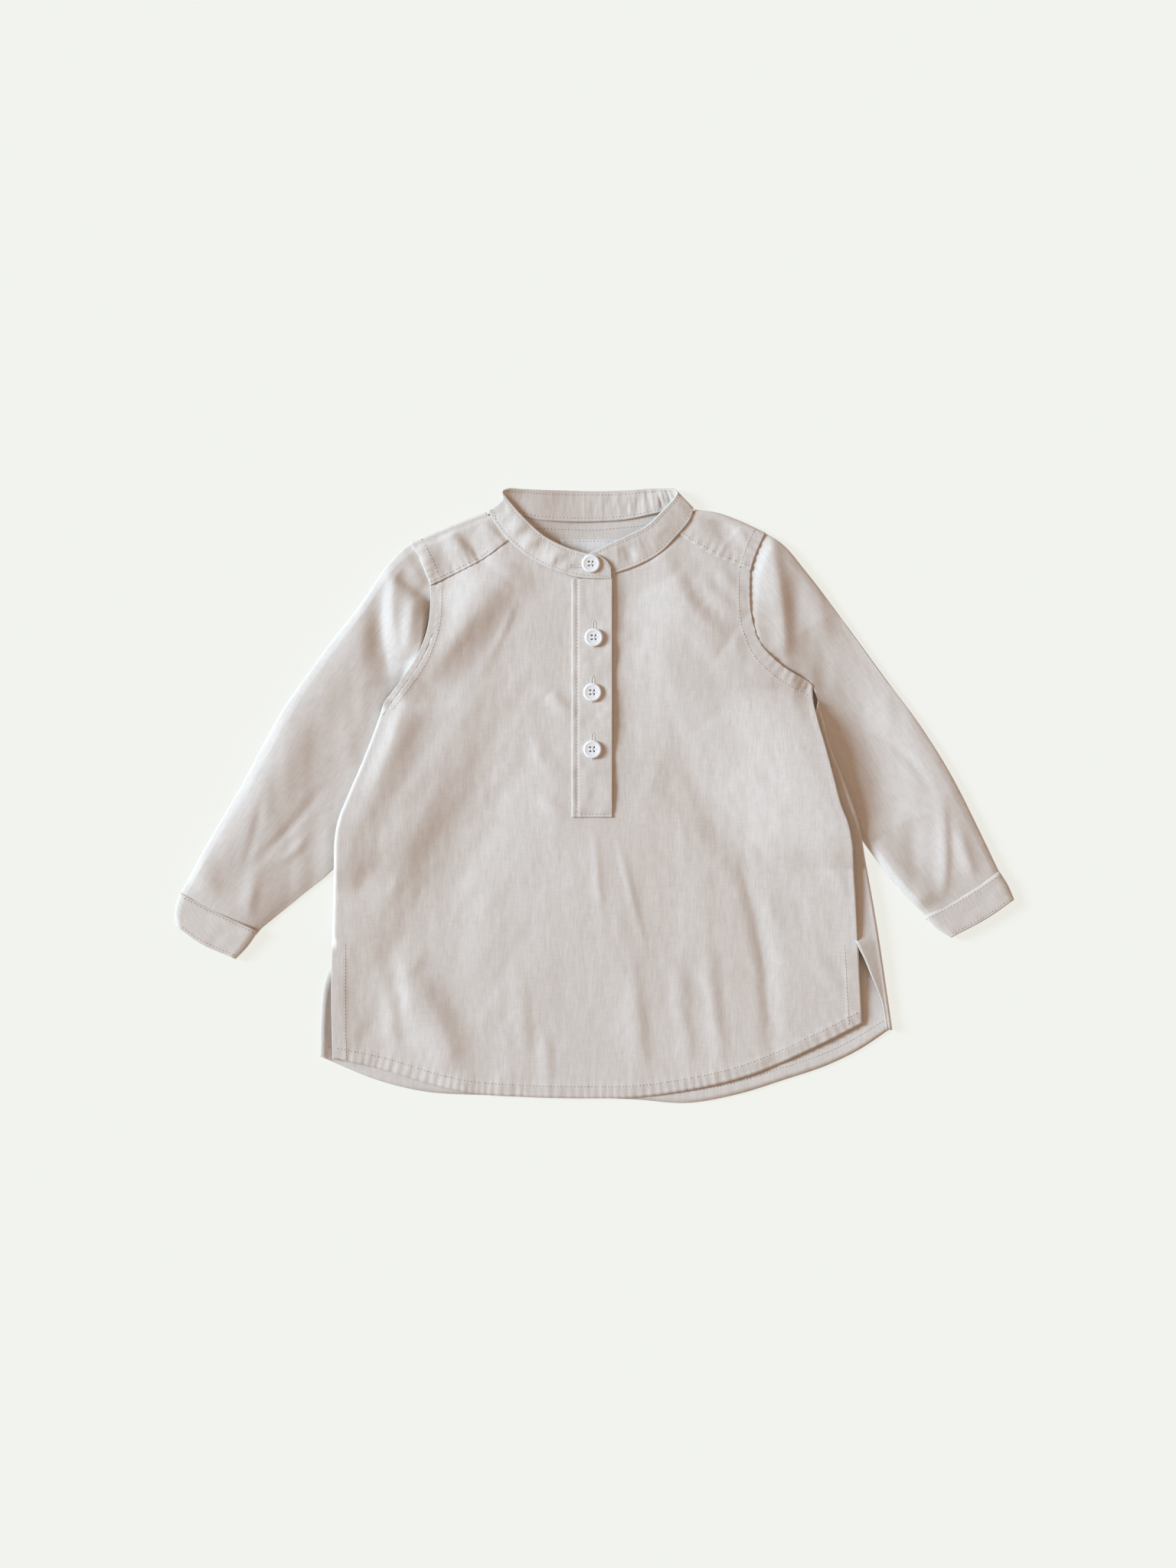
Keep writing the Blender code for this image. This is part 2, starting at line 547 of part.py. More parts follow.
def make_front():
    """Front panel: its right edge turns down over the side, its slit holds the placket."""
    columns = FRONT_TURN_COLUMNS + FRONT_COLUMNS
    turn_share = FRONT_TURN_COLUMNS / columns
    middle = (FRONT_TURN_COLUMNS + FRONT_COLUMNS / 2) / columns
    outline = joined(
        (smooth_curve(ARMHOLE_RIGHT[3:]), ARMHOLE_SHARE), (smooth_curve(SIDE_RIGHT), 1.0)
    )
    seam_side = moved(outline, (0.0, 0.0), SEAM_GAP / 2)

    def strip(v):
        y = seam_side(v)[:, 1]
        angle = TURN * ease((FRONT_TURN_TOP - y) / FRONT_TURN_TOP_RUN)
        angle *= ease((y - FRONT_TURN_FOOT) / FRONT_TURN_FOOT_RUN)
        width = np.maximum(FOLD_RADIUS * angle, LEAST_STRIP)
        return width, angle

    def start(v):
        v = np.asarray(v, float)
        width, angle = strip(v)
        reach = strip_reach(width, angle, 0.0) + CLOTH_WALL / 2 * angle / TURN
        return seam_side(v) + across(outline, v, (0.0, 0.0)) * reach[:, None]

    left = moved(
        joined((smooth_curve(ARMHOLE_LEFT[2:]), ARMHOLE_SHARE), (smooth_curve(SEAM_LEFT), 1.0)),
        (0.0, 0.0),
        SEAM_GAP / 2,
    )
    first_corner = tuple(start(np.array([0.0]))[0])
    last_corner = tuple(left(np.array([0.0]))[0])
    top = joined(
        (smooth_curve((first_corner,) + YOKE_SEAM_RIGHT[1:]), 0.25),
        (smooth_curve(NECK_RIGHT), 0.5),
        (smooth_curve(NECK_LEFT), 0.75),
        (smooth_curve(YOKE_SEAM_LEFT[:-1] + (last_corner,)), 1.0),
    )
    first_foot = tuple(start(np.array([1.0]))[0])
    last_foot = tuple(left(np.array([1.0]))[0])
    foot = smooth_curve((first_foot,) + HEM_FRONT[1:-1] + (last_foot,))
    plan = stretched(top, foot, start, left)
    top_edge = top(np.linspace(0.0, 1.0, 200))

    def place(u, v):
        body = np.clip((u - turn_share) / (1 - turn_share), 0.0, 1.0)
        over = np.clip(1 - u / turn_share, 0.0, 1.0)
        point = plan(body, v)
        side = np.sign(np.round(u - middle, 7))
        open_share = ease((point[:, 1] - SLIT_FOOT) / SLIT_RUN)
        edge = np.where(side < 0, SLIT_RIGHT_EDGE, SLIT_LEFT_EDGE)
        middle_x = plan(0.0 * u + 0.5, v)[:, 0]
        nearness = 1 - ease(np.abs(point[:, 0] - middle_x) / SLIT_SPREAD)
        aside = point[:, 0] + open_share * (side != 0) * (edge - middle_x) * nearness
        along_neck = [np.interp(x, top_edge[:, 0], top_edge[:, 1]) for x in (aside, point[:, 0])]
        point[:, 1] += (1 - v) ** 3 * (along_neck[0] - along_neck[1])
        point[:, 0] = aside
        width, angle = strip(v)
        out, down = turned(over / 1.5, width, angle, 0.0)
        outward = -across(outline, v, (0.0, 0.0))
        height = top_height(point[:, 0], point[:, 1])
        point += outward * out[:, None] * (over > 0)[:, None]
        return np.column_stack([point, height - down])

    bm = grid(columns, FRONT_ROWS)
    rows_open = round(FRONT_ROWS * slit_share(plan))
    slit(bm, middle - 0.5, 0.5 - rows_open / FRONT_ROWS)
    lay(bm, place)
    thicken(add_object("front", bm, CLOTH_COLOUR), CLOTH_WALL)


def slit_share(plan):
    """The share of the front's rows at which the placket's slit ends."""
    shares = np.linspace(0.0, 1.0, 400)
    y = plan(0.0 * shares + 0.5, shares)[:, 1]
    return shares[np.argmin(np.abs(y - SLIT_FOOT))]


def make_back():
    """Back panel: its left edge turns over the side and comes back on top to the seam."""
    columns = BACK_COLUMNS + BACK_TURN_COLUMNS
    body_share = BACK_COLUMNS / columns
    armhole = smooth_curve(ARMHOLE_RIGHT[3:])
    hidden_side = [(x + FOLD_RADIUS + SEAM_GAP, y) for x, y in SIDE_RIGHT[1:8]]
    right = moved(
        joined(
            (armhole, ARMHOLE_SHARE),
            (smooth_curve([SIDE_RIGHT[0]] + hidden_side + list(BACK_SIDE_RIGHT)), 1.0),
        ),
        (0.0, 0.0),
        SEAM_GAP / 2,
    )
    outline = joined(
        (smooth_curve(ARMHOLE_LEFT[3:]), ARMHOLE_SHARE), (smooth_curve(FOLD_LEFT), 1.0)
    )
    fold_x = x_by_y(FOLD_LEFT)
    edge_x = x_by_y(SEAM_LEFT[:-2] + TURNED_EDGE_LEFT[1:])

    def strip(v):
        y = outline(v)[:, 1]
        angle = TURN * ease((BACK_TURN_TOP - y) / BACK_TURN_TOP_RUN)
        width = np.maximum(FOLD_RADIUS * angle, LEAST_STRIP)
        flat = np.maximum(fold_x(y) - FOLD_RADIUS - edge_x(y) - WRAP_GAP, LEAST_WRAP)
        return width, angle, flat

    def start(v):
        v = np.asarray(v, float)
        inwards = across(outline, v, (0.0, 0.0))
        return outline(v) + inwards * (strip_reach(*strip(v)) + CLOTH_WALL / 2)[:, None]

    first_corner = tuple(right(np.array([0.0]))[0])
    last_corner = tuple(start(np.array([0.0]))[0])
    first_foot = tuple(right(np.array([1.0]))[0])
    last_foot = tuple(start(np.array([1.0]))[0])
    seam_y = BACK_YOKE_SEAM - SEAM_GAP / 2
    top = smooth_curve(
        (first_corner, (first_corner[0] / 2, seam_y), (last_corner[0] / 2, seam_y), last_corner)
    )
    foot = smooth_curve((first_foot,) + HEM_BACK[1:-1] + (last_foot,))
    plan = stretched(top, foot, right, start)

    def place(u, v):
        body = np.clip(u / body_share, 0.0, 1.0)
        over = np.clip((u - body_share) / (1 - body_share), 0.0, 1.0)
        point = plan(body, v)
        height = ON_TABLE + lift(point[:, 0], point[:, 1], TUCK_RUN)
        out, up = turned(over, *strip(v))
        point -= across(outline, v, (0.0, 0.0)) * out[:, None] * (over > 0)[:, None]
        return np.column_stack([point, height + up])

    sheet("back", columns, BACK_ROWS, place, CLOTH_WALL)


def shoulder_turn(line, steps):
    """Yoke sections round a shoulder fold, from the upper layer to the lower one.

    A section is a function of the share of the way from the neck to the armhole.
    """
    curve = smooth_curve(line)

    def section(angle):
        def at(share):
            point = curve(blend(SHOULDER_START, SHOULDER_END, share))
            inwards = across(curve, share, (0.0, 0.0))
            inset = FOLD_RADIUS * (1 - math.sin(angle))
            height = FOLD_HEIGHT - FOLD_RADIUS * (1 - math.cos(angle))
            return np.column_stack([point + inwards * inset, 0.0 * share + height])

        return at

    return [section(TURN * step / steps) for step in range(steps + 1)]


def flat_section(row, on_top):
    """A yoke section that lies flat, on the table or in the top layer."""
    neck = np.array(row[:2])
    outer = np.array(row[2:])

    def at(share):
        point = blend(neck, outer, share[:, None])
        height = top_height(point[:, 0], point[:, 1]) if on_top else 0.0 * share + ON_TABLE
        return np.column_stack([point, height])

    return at


def make_yoke():
    """Yoke in one piece, from the right front seam round the back to the left front seam."""
    sections = [flat_section(row, True) for row in YOKE_FRONT_RIGHT]
    sections += shoulder_turn(SHOULDER_RIGHT, TURN_STEPS)
    sections += [flat_section(row, False) for row in YOKE_BACK]
    sections += shoulder_turn(SHOULDER_LEFT, TURN_STEPS)[::-1]
    sections += [flat_section(row, True) for row in YOKE_FRONT_LEFT]
    last = len(sections) - 1

    def place(u, v):
        points = np.zeros((len(u), 3))
        index = np.round(u * last).astype(int)
        for number, section in enumerate(sections):
            chosen = index == number
            points[chosen] = section(v[chosen])
        return points

    sheet("yoke", last, 7, place, CLOTH_WALL)


def make_collar():
    """Band collar: a ribbon round the neck between its seam and its top edge."""
    rows = np.array(BAND_ROWS)
    middle = (rows[:, :3] + rows[:, 3:]) / 2
    reach = np.concatenate([[0.0], np.cumsum(np.linalg.norm(np.diff(middle, axis=0), axis=1))])
    section = through(reach / reach[-1], rows)

    def place(u, v):
        both = section(u)
        point = blend(both[:, 3:], both[:, :3], v[:, None])
        near_fold = np.exp(-(((point[:, 0] - BAND_FOLD_X) / BAND_FOLD_SPREAD) ** 2))
        near_fold *= ease((point[:, 1] - BAND_FOLD_FOOT) / BAND_FOLD_RUN)
        point[:, 0] += BAND_PINCH * near_fold * 4 * v * (1 - v)
        return point

    sheet("collar_stand", 72, 3, place, BAND_WALL)


def make_placket():
    """Two strips over the slit: the button band fills it, the buttonhole band lies on top."""
    def under(u, v):
        x = blend(SLIT_RIGHT_EDGE + SEAM_GAP, SLIT_LEFT_EDGE - SEAM_GAP, u)
        y = blend(PLACKET_TOP, UNDER_FOOT, v)
        return np.column_stack([x, y, top_height(x, y)])

    def over(u, v):
        x = blend(PLACKET_RIGHT_EDGE, PLACKET_LEFT_EDGE, u)
        y = blend(PLACKET_TOP, PLACKET_FOOT, v)
        stand_off = (CLOTH_WALL + STRIP_WALL) / 2 + SEAM_GAP
        free = FREE_EDGE_RISE * ease((u - FREE_FROM) / (1 - FREE_FROM)) * ease((1 - v) / FREE_FOOT)
        return np.column_stack([x, y, top_height(x, y) + stand_off + free])

    sheet("placket_under", 4, 14, under, CLOTH_WALL)
    sheet("placket_over", 6, 16, over, STRIP_WALL)


def fullness(angle):
    """How full a flattened tube is at an angle round it: 0 at its folded edges, 1 between."""
    return np.minimum(np.abs(np.sin(angle)) / EDGE_REACH, 1.0) ** EDGE_SOFTNESS


def sleeve_place(armhole, seam, outer, inner, heights):
    """Where the points of a flattened sleeve go: u runs round it, v from armhole to cuff."""
    cap = moved(smooth_curve(armhole[:7]), (0.0, 100.0), -CAP_GAP)
    middle_line = blend(np.array(outer[4]), np.array(inner[6]), 0.5)
    outer_edge = moved(smooth_curve(outer), middle_line, CLOTH_WALL / 2)
    inner_edge = moved(smooth_curve(inner), middle_line, CLOTH_WALL / 2)
    plan = stretched(cap, smooth_curve(seam), outer_edge, inner_edge)
    table = np.array([row[1:] for row in heights])
    by_length = through([row[0] for row in heights], table)
    by_width = through(WIDTH_SHARES, np.eye(len(WIDTH_SHARES)))

    def at(u, v, folds):
        angle = 2 * math.pi * u
        width_share = (1 - np.cos(angle)) / 2
        point = plan(width_share, v)
        body = cap(width_share)
        cap_height = top_height(body[:, 0], body[:, 1])
        own = np.sum(by_length(v) * by_width(width_share), axis=1)
        height = blend(cap_height, own, ease(v / CAP_RUN))
        round_edge = fullness(angle)
        middle = (height + ON_TABLE) / 2
        half = (height - ON_TABLE) / 2 * round_edge
        fold = creases(point[:, 0], point[:, 1], folds) * round_edge
        fold *= ease(v / FOLD_START) * ease((1 - v) / FOLD_END)
        top = np.sin(angle) > 1e-6
        return np.column_stack([point, np.where(top, middle + half + fold, middle - half)])

    return at


def make_sleeve(name, armhole, seam, outer, inner, heights, folds):
    place = sleeve_place(armhole, seam, outer, inner, heights)
    tube(name, SLEEVE_SIDES, SLEEVE_ROWS, lambda u, v: place(u, v, folds), CLOTH_WALL)


def make_cuff(name, seam, end, outer, inner):
    """A cuff: a flattened tube that goes on where the sleeve ends."""
    plan = stretched(smooth_curve(seam), smooth_curve(end), smooth_curve(outer), smooth_curve(inner))

    def place(u, v):
        angle = 2 * math.pi * u
        point = plan((1 - np.cos(angle)) / 2, blend(CUFF_START, 1.0, v))
        side = np.sign(np.round(np.sin(angle), 6))
        middle = (CUFF_HEIGHT + BAND_ON_TABLE) / 2
        height = middle + (CUFF_HEIGHT - BAND_ON_TABLE) / 2 * side * fullness(angle)
        return np.column_stack([point, height])

    tube(name, CUFF_SIDES, CUFF_ROWS, place, BAND_WALL)


def make_label():
    """A blank label on the inside of the back yoke."""
    def place(u, v):
        x = blend(LABEL_RIGHT, LABEL_LEFT, u)
        y = blend(LABEL_TOP, LABEL_FOOT, v)
        height = CLOTH_WALL + SEAM_GAP + LABEL_WALL / 2
        return np.column_stack([x, y, 0.0 * u + height])

    sheet("neck_label", 2, 2, place, LABEL_WALL, LABEL_COLOUR)


def button_mesh():
    """A four-hole button: a turned profile, with its holes cut through."""
    rim_in = BUTTON_RADIUS - BUTTON_RIM
    floor = BUTTON_HEIGHT - BUTTON_DISH
    profile = (
        (0.0, 0.0),
        (BUTTON_RADIUS - BUTTON_BEVEL, 0.0),
        (BUTTON_RADIUS, BUTTON_WIDEST),
        (BUTTON_RADIUS - BUTTON_ROUND, BUTTON_HEIGHT - BUTTON_ROUND / 2),
        (rim_in, BUTTON_HEIGHT - BUTTON_ROUND / 3),
        (rim_in - BUTTON_DISH, floor),
        (0.0, floor),
    )
    bm = bmesh.new()
    ring = [bm.verts.new((radius * MM, 0.0, height * MM)) for radius, height in profile]
    edges = [bm.edges.new(pair) for pair in zip(ring, ring[1:])]
    bmesh.ops.spin(
        bm, geom=ring + edges, axis=(0, 0, 1), cent=(0, 0, 0), angle=2 * math.pi,
        steps=BUTTON_SIDES, use_merge=True, use_duplicate=False,
    )
    bmesh.ops.remove_doubles(bm, verts=bm.verts, dist=0.01 * MM)
    bmesh.ops.recalc_face_normals(bm, faces=bm.faces)
    return bm


def hole_cutter(name):
    """Four round pegs that cut a button's holes."""
    bm = bmesh.new()
    for x in (-1, 1):
        for y in (-1, 1):
            peg = bmesh.ops.create_cone(
                bm, cap_ends=True, segments=8, radius1=BUTTON_HOLE_RADIUS * MM,
                radius2=BUTTON_HOLE_RADIUS * MM, depth=4 * BUTTON_HEIGHT * MM,
            )
            shift = Vector((x, y, 0)) * BUTTON_HOLE_SPACING / 2 * MM
            bmesh.ops.translate(bm, verts=peg["verts"], vec=shift)
    cutter = add_object(name, bm, BUTTON_COLOUR)
    cutter.hide_render = True
    cutter.display_type = "WIRE"
    return cutter


def make_buttons():
    """Four buttons down the front, each square to the cloth under it."""
    for number, (x, y, stand_off, tilt) in enumerate(BUTTONS, start=1):
        button = add_object(f"button_{number}", button_mesh(), BUTTON_COLOUR, 0.35)
        cutter = hole_cutter(f"button_{number}_holes")
        cutter.parent = button
        holes = button.modifiers.new("holes", "BOOLEAN")
        holes.operation = "DIFFERENCE"
        holes.object = cutter
        height = float(top_height(np.array([x]), np.array([y]))[0]) + stand_off
        button.location = Vector((x, y, height)) * MM
        button.rotation_euler = (math.radians(tilt), 0.0, 0.0)


for old in list(bpy.data.objects):
    bpy.data.objects.remove(old, do_unlink=True)

shirt = bpy.data.objects.new("shirt", None)
bpy.context.scene.collection.objects.link(shirt)

make_back()
make_front()
make_yoke()
make_collar()
make_placket()
make_sleeve(
    "sleeve_right", ARMHOLE_RIGHT, CUFF_SEAM_RIGHT, OUTER_RIGHT, INNER_RIGHT,
    SLEEVE_RIGHT_HEIGHTS, SLEEVE_RIGHT_FOLDS,
)
make_sleeve(
    "sleeve_left", ARMHOLE_LEFT, CUFF_SEAM_LEFT, OUTER_LEFT, INNER_LEFT,
    SLEEVE_LEFT_HEIGHTS, SLEEVE_LEFT_FOLDS,
)
make_cuff("cuff_right", CUFF_SEAM_RIGHT, CUFF_END_RIGHT, CUFF_OUTER_RIGHT, CUFF_INNER_RIGHT)
make_cuff("cuff_left", CUFF_SEAM_LEFT, CUFF_END_LEFT, CUFF_OUTER_LEFT, CUFF_INNER_LEFT)
make_label()
make_buttons()
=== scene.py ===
# %% [markdown]
# # A toddler's band-collar shirt, laid flat
# The shirt lies on its back with its front up. Its solids come from model.glb, and this
# lesson dresses them: every cloth piece is made again as a fine, thin sheet with its
# folds, seams and stitches, and the buttons get their rims, holes and thread.
# We start from the imported frame, because each new piece has to sit where its solid is.

import json
import math

import bmesh
import bpy
import numpy as np
from mathutils import Matrix, Vector
from mathutils.bvhtree import BVHTree

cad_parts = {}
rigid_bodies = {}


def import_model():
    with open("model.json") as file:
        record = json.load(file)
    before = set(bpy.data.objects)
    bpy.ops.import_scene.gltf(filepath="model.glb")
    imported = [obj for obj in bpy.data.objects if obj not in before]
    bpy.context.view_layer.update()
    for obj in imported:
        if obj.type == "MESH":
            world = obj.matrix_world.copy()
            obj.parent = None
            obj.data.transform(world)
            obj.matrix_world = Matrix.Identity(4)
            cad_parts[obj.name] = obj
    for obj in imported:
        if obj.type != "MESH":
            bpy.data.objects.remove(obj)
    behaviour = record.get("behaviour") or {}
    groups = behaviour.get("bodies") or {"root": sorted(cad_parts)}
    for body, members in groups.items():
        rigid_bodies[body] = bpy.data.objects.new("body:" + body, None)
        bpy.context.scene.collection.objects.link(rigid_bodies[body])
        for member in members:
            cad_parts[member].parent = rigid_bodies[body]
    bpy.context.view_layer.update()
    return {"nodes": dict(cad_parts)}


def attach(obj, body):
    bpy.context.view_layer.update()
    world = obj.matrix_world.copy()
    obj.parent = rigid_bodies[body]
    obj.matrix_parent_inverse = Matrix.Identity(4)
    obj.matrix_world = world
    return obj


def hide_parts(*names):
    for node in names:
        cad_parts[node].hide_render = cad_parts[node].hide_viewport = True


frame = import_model()
print("solids:", sorted(frame["nodes"]))

# %% [markdown]
# ## Sizes
# A sewing room works in millimetres, so this file does too. MM turns a length into
# metres when a point goes into a mesh. The walls are those of shirt cotton: one layer
# for the body and the sleeves, two for the placket, three for the collar and cuffs.

# %% Sizes in millimetres
MM = 0.001
CLOTH_WALL = 0.6
STRIP_WALL = 0.9
BAND_WALL = 1.2
LABEL_WALL = 0.4
ON_TABLE = 0.5
BAND_ON_TABLE = 0.75
SEAM_GAP = 0.5
FOLD_HEIGHT = 4.2
FOLD_RADIUS = (FOLD_HEIGHT - ON_TABLE) / 2
EDGE_RUN = 110.0
SHOULDER_RUN = 80.0
SHOULDER_FADE = 5.0
FOLD_FADE = 14.0
TURN = math.pi
LAP = 2.6  # how far one piece runs in under the next at a seam
LAP_DROP = 0.6  # how much lower it lies there

SLIT_RIGHT_EDGE = -9.6
SLIT_LEFT_EDGE = 9.1
SLIT_FOOT = -8.0
SLIT_SPREAD = 45.0
PLACKET_TOP = 134.9
PLACKET_FOOT = -13.6
UNDER_FOOT = 3.0
BACK_YOKE_SEAM = 131.4

# %% [markdown]
# ## Smooth helpers
# Cloth edges are long, easy curves. A few points and a smooth function through them say
# a hem or an armhole better than a dense list would, so all outlines are made this way.

# %% Curves through a few points
def ease(share):
    """A soft step from 0 to 1."""
    share = np.clip(share, 0.0, 1.0)
    return share * share * (3.0 - 2.0 * share)


def blend(first, second, share):
    return first + (second - first) * share


def hill(away, width):
    """A smooth bump: 1 in the middle, nearly nothing at twice its width."""
    return np.exp(-((away / width) ** 2))


def through(knots, values):
    """A smooth function through values at rising knots, level beyond both ends."""
    knots = np.array(knots, float)
    values = np.array(values, float)
    slopes = np.gradient(values, knots, axis=0)

    def at(place):
        place = np.clip(place, knots[0], knots[-1])
        index = np.clip(np.searchsorted(knots, place, side="right") - 1, 0, len(knots) - 2)
        step = knots[index + 1] - knots[index]
        share = (place - knots[index]) / step
        if values.ndim > 1:
            step = step[..., None]
            share = share[..., None]
        start = (1 + 2 * share) * (1 - share) ** 2 * values[index]
        end = share**2 * (3 - 2 * share) * values[index + 1]
        leave = share * (1 - share) ** 2 * step * slopes[index]
        arrive = share**2 * (share - 1) * step * slopes[index + 1]
        return start + end + leave + arrive

    return at


def by_y(rows):
    """A smooth function of y from rows of (y, value)."""
    rows = sorted(rows)
    return through([row[0] for row in rows], [row[1] for row in rows])


def x_by_y(points):
    return by_y([(y, x) for x, y in points])


def reach_of(points):
    """How far along a chain of points each of them lies."""
    steps = np.linalg.norm(np.diff(points, axis=0), axis=1)
    return np.concatenate([[0.0], np.cumsum(steps)])


def smooth_curve(points):
    """A smooth plan curve through points, as a function of the share of its length."""
    points = np.array(points, float)
    reach = reach_of(points)
    return through(reach / reach[-1], points)


def joined(*parts):
    """One curve from several, each given with the share where it ends."""

    def at(share):
        share = np.asarray(share, float)
        start = 0.0
        point = None
        for curve, end in parts:
            piece = curve(np.clip((share - start) / (end - start), 0.0, 1.0))
            point = piece if point is None else np.where((share > start)[..., None], piece, point)
            start = end
        return point

    return at


def across(curve, share, inside):
    """Unit vectors at right angles to a plan curve, towards the point inside."""
    step = 0.004
    tangent = curve(np.clip(share + step, 0, 1)) - curve(np.clip(share - step, 0, 1))
    normal = np.stack([-tangent[..., 1], tangent[..., 0]], axis=-1)
    normal /= np.linalg.norm(normal, axis=-1, keepdims=True)
    towards = np.sum(normal * (np.array(inside) - curve(share)), axis=-1, keepdims=True)
    return normal * np.sign(towards)


def moved(curve, inside, amount):
    """A plan curve shifted by an amount towards the point inside."""

    def at(share):
        share = np.asarray(share, float)
        return curve(share) + across(curve, share, inside) * amount

    return at


def stretched(top, foot, first, last):
    """The plan of a sheet between four edge curves; u runs along top, v along first."""

    def at(u, v):
        u_column = u[:, None]
        v_column = v[:, None]
        rows = (1 - v_column) * top(u) + v_column * foot(u)
        columns = (1 - u_column) * first(v) + u_column * last(v)
        upper = (1 - u_column) * first(0.0 * v) + u_column * last(0.0 * v)
        lower = (1 - u_column) * first(0.0 * v + 1.0) + u_column * last(0.0 * v + 1.0)
        return rows + columns - (1 - v_column) * upper - v_column * lower

    return at


# %% [markdown]
# ## The pattern's outlines
# These are the seams and edges of the shirt as they lie, as (x, y) points. The wearer's
# right is at -X. They are the same lines that the solids follow, so the dressed pieces
# and the solids share their silhouette.

# %% Armholes, shoulders, neck and yoke seams
ARMHOLE_RIGHT = (
    (-115.7, 158.4), (-111.4, 150.7), (-105.4, 137.5), (-103.2, 131.5), (-103.0, 121.0),
    (-105.0, 104.0), (-111.4, 87.4), (-121.4, 72.5), (-132.0, 58.6),
)
ARMHOLE_LEFT = (
    (107.0, 164.6), (101.8, 153.1), (97.9, 141.1), (97.4, 131.4), (97.4, 122.0),
    (99.2, 107.5), (104.0, 94.5), (118.5, 79.5), (136.8, 69.1),
)
SHOULDER_RIGHT = ((-67.9, 177.8), (-85.0, 171.4), (-102.0, 164.2), (-115.7, 158.4))
SHOULDER_LEFT = ((62.5, 179.2), (76.0, 177.4), (90.2, 172.4), (107.0, 164.6))
YOKE_SEAM_RIGHT = ((-103.2, 131.5), (-85.0, 140.2), (-70.6, 147.8), (-54.8, 159.6))
YOKE_SEAM_LEFT = ((52.9, 163.4), (66.2, 155.0), (80.6, 147.8), (97.9, 141.1))
NECK_RIGHT = (
    (-54.8, 159.6), (-46.0, 152.0), (-37.2, 145.8), (-22.7, 139.4), (-8.2, 135.6), (-0.2, 135.2),
)
NECK_LEFT = ((-0.2, 135.2), (11.2, 138.1), (27.9, 143.9), (42.3, 152.1), (52.9, 163.4))

# %% Side seams, folds and hems
SIDE_RIGHT = (
    (-132.0, 58.6), (-136.3, 45.6), (-145.9, 20.6), (-155.5, -1.9), (-160.8, -15.4),
    (-162.8, -26.0), (-163.4, -43.7), (-164.8, -91.7), (-165.2, -130.0), (-164.6, -165.6),
)
SEAM_LEFT = (
    (136.8, 69.1), (136.9, 60.0), (139.4, 48.0), (144.4, 30.7), (150.2, 9.1), (154.6, -7.0),
    (158.6, -17.0), (161.3, -29.3), (162.7, -48.5), (164.0, -70.0), (164.7, -82.0),
    (165.1, -91.7), (167.0, -125.3), (168.0, -143.0),
)
FOLD_LEFT = (
    (136.8, 69.1), (142.0, 52.3), (147.3, 30.7), (155.0, 11.5), (164.6, -14.9),
    (169.4, -38.9), (177.1, -82.1), (182.9, -120.5), (186.7, -146.9),
)
TURNED_EDGE_LEFT = (
    (165.4, -91.7), (168.4, -99.8), (172.9, -111.8), (180.0, -129.1), (183.4, -146.9),
)
BACK_SIDE_RIGHT = ((-165.4, -104.0), (-169.6, -119.0), (-171.8, -139.7), (-172.2, -163.7))
HEM_FRONT = (
    (-164.6, -165.6), (-133.0, -172.3), (-104.2, -181.0), (-80.0, -186.6), (-45.0, -189.2),
    (0.0, -190.1), (25.0, -189.6), (50.4, -186.5), (96.0, -176.2), (137.8, -158.4),
    (168.0, -143.0),
)
HEM_BACK = (
    (-172.2, -163.7), (-161.3, -168.7), (-137.8, -178.3), (-112.0, -185.0), (-61.0, -188.4),
    (25.0, -190.8), (58.6, -193.0), (88.3, -187.9), (119.5, -178.3), (147.4, -168.7),
    (166.6, -159.2), (186.7, -146.9),
)

# %% Sleeves and cuffs
OUTER_RIGHT = (
    (-115.7, 158.4), (-127.7, 148.3), (-148.3, 119.5), (-170.4, 90.7), (-197.3, 52.3),
    (-223.2, 4.3), (-245.3, -34.1), (-259.7, -61.0),
)
INNER_RIGHT = (
    (-111.4, 87.4), (-122.0, 72.8), (-132.9, 58.2), (-137.3, 45.0), (-140.0, 30.0),
    (-141.5, 10.0), (-145.0, -8.0), (-152.0, -27.0), (-163.7, -44.2), (-185.3, -62.9),
    (-211.7, -85.0),
)
OUTER_LEFT = (
    (107.0, 164.6), (118.6, 157.4), (134.9, 138.7), (156.5, 109.9), (184.3, 71.5),
    (205.4, 42.7), (223.2, 13.9), (242.4, -24.5), (253.4, -48.0),
)
INNER_LEFT = (
    (104.0, 94.5), (118.9, 80.1), (137.7, 69.9), (142.1, 56.5), (143.8, 46.0), (145.0, 36.0),
    (147.8, 20.0), (153.2, 0.0), (160.2, -16.0), (168.0, -27.0), (187.2, -53.3),
    (207.4, -75.8),
)
CUFF_SEAM_RIGHT = ((-259.7, -61.0), (-238.6, -72.0), (-211.7, -85.0))
CUFF_END_RIGHT = ((-262.0, -82.4), (-248.6, -92.0), (-225.9, -102.3))
CUFF_OUTER_RIGHT = ((-259.7, -61.0), (-262.9, -72.5), (-262.0, -82.4))
CUFF_INNER_RIGHT = ((-211.7, -85.0), (-218.8, -95.0), (-225.9, -102.3))
CUFF_SEAM_LEFT = ((253.4, -48.0), (231.8, -62.3), (207.4, -75.8))
CUFF_END_LEFT = ((262.7, -65.5), (246.7, -76.6), (224.0, -88.8))
CUFF_OUTER_LEFT = ((253.4, -48.0), (258.7, -56.5), (262.7, -65.5))
CUFF_INNER_LEFT = ((207.4, -75.8), (215.4, -83.5), (224.0, -88.8))

